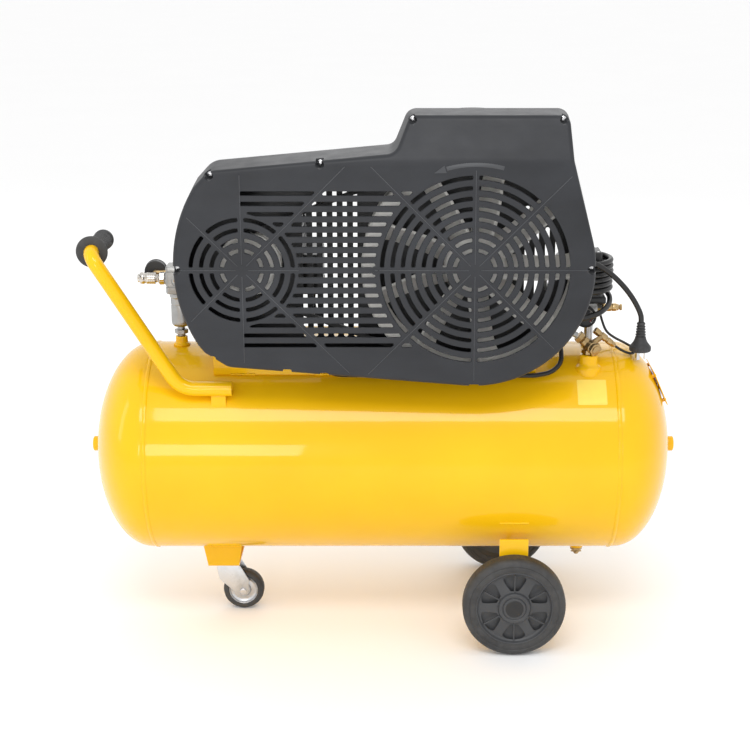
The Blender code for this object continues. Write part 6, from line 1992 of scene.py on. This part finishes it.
def make_outlet():
    x = OUTLET_X
    base = low("outlet_pipe").z
    bm = bmesh.new()
    add_nut(bm, (x, 0, base + 0.0045), Z, 0.0120, 0.0080)
    add_round(bm, [(0, 0), (0.0065, 0), (0.0065, 0.0190), (0, 0.0190)], 0.0004, (x, 0, base), Z, 36)
    bowl = [(0, 0.0170), (0.0080, 0.0172), (0.0130, 0.0190), (0.0158, 0.0225), (0.0165, 0.0270),
            (0.0165, 0.0560), (0.0158, 0.0566), (0.0158, 0.0584), (0.0165, 0.0590), (0.0165, 0.0700),
            (0.0178, 0.0716), (0.0180, 0.0724), (0.0180, 0.0782), (0.0174, 0.0790), (0, 0.0790)]
    add_round(bm, bowl, 0.0006, (x, 0, base), Z, 120, knurled(30, 0.0008, 0.0600, 0.0695, 0.0160))
    as_piece("outlet_bowl", bm, "alloy", replaces=("outlet_pipe",), angle=34)
    low_z = low("regulator_body").z
    top = low_z + 0.0495
    half = 0.0215
    middle_z = (low_z + top) / 2
    outline = rectangle(x - half, -half, x + half, half, 0.005)
    small = offset_outline(outline, -0.0012)
    bm = bmesh.new()
    add_loft(bm, [(offset_outline(outline, -0.0030), low_z), (offset_outline(outline, -0.0008),
            low_z + 0.0010), (outline, low_z + 0.0030), (outline, low_z + 0.0120), (small, low_z + 0.0126),
            (small, low_z + 0.0140), (outline, low_z + 0.0146), (outline, top - 0.0100),
            (small, top - 0.0094), (small, top - 0.0080), (outline, top - 0.0074), (outline, top - 0.0030),
            (offset_outline(outline, -0.0008), top - 0.0010), (offset_outline(outline, -0.0030), top)],
            "XY")
    bm = boolean(bm, add_round(bmesh.new(), [(0, -0.0020), (0.0126, -0.0020), (0.0120, 0.0028),
            (0, 0.0030)], 0.0006, (x - half, 0, middle_z), -X, 56), "UNION")
    bm = boolean(bm, add_rod(bmesh.new(), (x, -0.03, middle_z), (x, -half + 0.0016, middle_z), 0.0115, 48,
            0))
    as_piece("regulator_housing", bm, "alloy", replaces=("regulator_body",), angle=34)
    bm = bmesh.new()
    add_round(bm, [(0, 0), (0.0088, 0), (0.0086, 0.0014), (0, 0.0016)], 0.0003,
            (x, -half + 0.0015, middle_z), -Y, 6)
    for dx in (-0.0160, 0.0160):
        for dy in (-0.0160, 0.0160):
            add_round(bm, [(0, -0.0010), (0.0026, -0.0010), (0.0026, 0.0), (0, 0.0002)], 0.0002,
                    (x + dx, dy, top), Z, 24)
    as_piece("regulator_screws", bm, "screw_steel")
    bm = bmesh.new()
    gauge_z = middle_z + 0.007
    gauge_x = -0.4020
    route = bent_path([(x - half + 0.001, 0.0160, gauge_z), (gauge_x, 0.0160, gauge_z),
            (gauge_x, 0.0214, gauge_z)], [0.0030])
    add_tube(bm, route, 0.0040, 24)
    add_nut(bm, (x - half - 0.0005, 0.0160, gauge_z), -X, 0.0062, 0.0045)
    as_piece("gauge_elbow", bm, "brass")
    knob = [(0, 0), (0.0142, 0), (0.0150, 0.0008), (0.0150, 0.0052), (0.0172, 0.0074), (0.0180, 0.0090),
            (0.0178, 0.0180), (0.0172, 0.0330), (0.0158, 0.0364), (0.0135, 0.0378), (0.0100, 0.0380),
            (0.0096, 0.0370), (0, 0.0368)]
    as_piece("regulator_grip_knob", add_round(bmesh.new(), knob, 0.0007, (x, half + 0.0003, middle_z), Y,
            144, knurled(18, 0.0013, 0.0085, 0.0345, 0.0165)), "black_plastic", "regulator_dial",
            replaces=("regulator_knob",), angle=34)
    make_gauge("outlet_gauge", "regulator_gauge", (gauge_x, 0.0208, gauge_z), Y, 0.0200, 0.0, 0.0160)
    make_coupler(x - half - 0.0033, middle_z)


def make_coupler(start, z):
    at = (start, 0, z)
    bm = bmesh.new()
    add_nut(bm, (start - 0.0008, 0, z), -X, 0.0118, 0.0086, 0.0060)
    body = [(0.0042, 0), (0.0098, 0), (0.0104, 0.0008), (0.0104, 0.0100), (0.0082, 0.0112),
            (0.0075, 0.0125), (0.0075, 0.0140), (0.0070, 0.0144), (0.0070, 0.0152), (0.0075, 0.0156),
            (0.0075, 0.0472), (0.0068, 0.0480), (0.0048, 0.0480), (0.0042, 0.0474)]
    add_round(bm, body, 0.0003, at, -X, 56)
    as_piece("coupler_socket_body", bm, "nickel", replaces=("coupler_body",), angle=38)
    sleeve = [(0.0080, 0.0160), (0.0096, 0.0160), (0.0105, 0.0172)]
    for h in (0.0200, 0.0235, 0.0270):
        sleeve += [(0.0105, h), (0.0101, h + 0.0003), (0.0101, h + 0.0009), (0.0105, h + 0.0012)]
    sleeve += [(0.0105, 0.0310), (0.0104, 0.0318), (0.0093, 0.0330), (0.0092, 0.0352), (0.0104, 0.0372),
            (0.0105, 0.0380), (0.0105, 0.0418), (0.0098, 0.0436), (0.0092, 0.0440), (0.0080, 0.0440)]
    as_piece("coupler_slide_sleeve", add_turned(bmesh.new(), sleeve, at, -X, 96), "nickel", "coupler_ring",
            replaces=("coupler_sleeve",), angle=30)


# ---------------------------------------------------------------- drain and axle
def make_drain():
    boss_low, boss_high = low("drain_boss"), high("drain_boss")
    x = (boss_low.x + boss_high.x) / 2
    y = (boss_low.y + boss_high.y) / 2
    tall = boss_high.z - boss_low.z
    wide = (boss_high.x - boss_low.x) / 2
    as_piece("drain_bush", add_round(bmesh.new(), [(0, 0), (wide - 0.0010, 0), (wide, 0.0010), (wide, tall),
            (0, tall)], 0.0006, (x, y, boss_low.z), Z, 48), "tank_yellow", replaces=("drain_boss",))
    cock_low, cock_high = low("drain_cock"), high("drain_cock")
    tall = cock_high.z - cock_low.z
    wide = (cock_high.x - cock_low.x) / 2
    bm = bmesh.new()
    add_nut(bm, (x, y, cock_high.z - tall * 0.38), Z, wide, tall * 0.38)
    stem = [(0, 0), (wide * 0.30, 0), (wide * 0.38, tall * 0.05), (wide * 0.38, tall * 0.22),
            (wide * 0.58, tall * 0.26), (wide * 0.58, tall * 0.46), (wide * 0.42, tall * 0.50),
            (wide * 0.42, tall * 0.70), (0, tall * 0.70)]
    add_round(bm, stem, 0.0003, (x, y, cock_low.z), Z, 40)
    wing = rounded([(x - wide * 0.96, cock_low.z + tall * 0.26, 0.0010),
            (x + wide * 0.96, cock_low.z + tall * 0.26, 0.0010), (x + wide * 0.80, cock_low.z + tall * 0.46,
            0.0010), (x - wide * 0.80, cock_low.z + tall * 0.46, 0.0010)])
    add_prism(bm, wing, y - 0.0011, y + 0.0011, "XZ", 0.0004)
    as_piece("drain_tap", bm, "brass", "drain_valve", replaces=("drain_cock",), angle=36)


def make_axle():
    start, end = low("wheel_axle"), high("wheel_axle")
    x = (start.x + end.x) / 2
    z = (start.z + end.z) / 2
    radius = (end.z - start.z) / 2
    long = end.y - start.y
    profile = [(0, 0), (radius * 0.82, 0), (radius, 0.0014), (radius, 0.0060), (radius * 0.93, 0.0064),
            (radius * 0.93, 0.0078), (radius, 0.0082), (radius, long - 0.0082),
            (radius * 0.93, long - 0.0078), (radius * 0.93, long - 0.0064), (radius, long - 0.0060),
            (radius, long - 0.0014), (radius * 0.82, long), (0, long)]
    as_piece("wheel_spindle", add_turned(bmesh.new(), profile, (x, start.y, z), Y, 40), "zinc_steel",
            replaces=("wheel_axle",), angle=38)


# ---------------------------------------------------------------- camera, light and floor
def area_light(name, place, target, size, power, size_y=None):
    data = bpy.data.lights.new(name, "AREA")
    data.shape = "RECTANGLE"
    data.size = size
    data.size_y = size_y or size
    data.energy = power
    light = bpy.data.objects.new(name, data)
    light.location = place
    light.rotation_euler = (Vector(target) - Vector(place)).to_track_quat("-Z", "Y").to_euler()
    bpy.context.scene.collection.objects.link(light)


def make_stage():
    scene = bpy.context.scene
    scene.view_settings.view_transform = "Standard"
    world = bpy.data.worlds.new("studio")
    world.use_nodes = True
    background = world.node_tree.nodes["Background"]
    background.inputs["Color"].default_value = (1.0, 1.0, 1.0, 1.0)
    background.inputs["Strength"].default_value = 1.0
    scene.world = world
    bm = bmesh.new()
    bmesh.ops.create_grid(bm, x_segments=2, y_segments=2, size=30.0)
    mesh = bpy.data.meshes.new("floor")
    bm.to_mesh(mesh)
    bm.free()
    n = Nodes("pale_floor")
    n.set(Base_Color=n.ramp(n.noise(1.5, 3.0), [(0.3, (0.972, 0.972, 0.972)), (0.7, (0.98, 0.98, 0.98))]))
    n.set(Roughness=0.9, Specular_IOR_Level=0.1)
    mesh.materials.append(n.mat)
    floor = bpy.data.objects.new("floor", mesh)
    floor.location.z = -0.0005
    scene.collection.objects.link(floor)
    centre = (0, 0, 0.45)
    area_light("front_softbox", (0.0, -2.08, 2.72), (0.0, -0.154, 0.423), 1.75, 30, size_y=0.8)
    area_light("front_fill", (-0.7, -3.4, 1.0), centre, 0.7, 10)
    area_light("behind", (0.4, 3.2, 2.4), centre, 2.4, 18)
    area_light("left_strip", (-2.9, -0.6, 1.5), centre, 0.5, 6, size_y=1.8)


def make_camera():
    data = bpy.data.cameras.new("camera")
    data.lens = 74.56
    data.sensor_width = 36.0
    data.shift_x = -0.0412
    data.clip_end = 50.0
    camera = bpy.data.objects.new("camera", data)
    camera.location = (0.0408, -2.6676, 1.2203)
    camera.rotation_euler = (math.radians(90 - 16.131), 0, 0)
    bpy.context.scene.collection.objects.link(camera)
    bpy.context.scene.camera = camera


# ---------------------------------------------------------------- everything, in order
def finish_cad_nodes():
    """Give each CAD node that is still shown the finish of its record slot."""
    slot_of = {row["node"]: row["material_slot"] for row in frame["record"]["subparts"]}
    for name, obj in NODES.items():
        if not obj.hide_render:
            obj.data.materials.clear()
            obj.data.materials.append(MATERIALS[slot_of[name]])


make_materials()
make_camera()
make_stage()
make_cords()
make_tank()
make_sockets()
for wheel_name, wheel_side in (("front", -1), ("rear", 1)):
    make_wheel(wheel_name, wheel_side)
    make_wheel_bracket(wheel_name, wheel_side)
make_caster()
make_platform()
make_handle()
make_guard()
make_guard_back()
make_flywheel()
make_crankshaft()
make_pulley()
make_belt()
make_motor()
make_crankcase()
make_cylinder()
make_head()
make_check_valve()
make_post_and_manifold()
make_gauge("tank_gauge", "switch_gauge", (0.3540, -0.0145, 0.5655), -Y, 0.0190, 0.0045, 0.0280, "dial_mark",
           "dial_white")
make_pressure_switch()
make_outlet()
make_drain()
make_axle()
finish_cad_nodes()
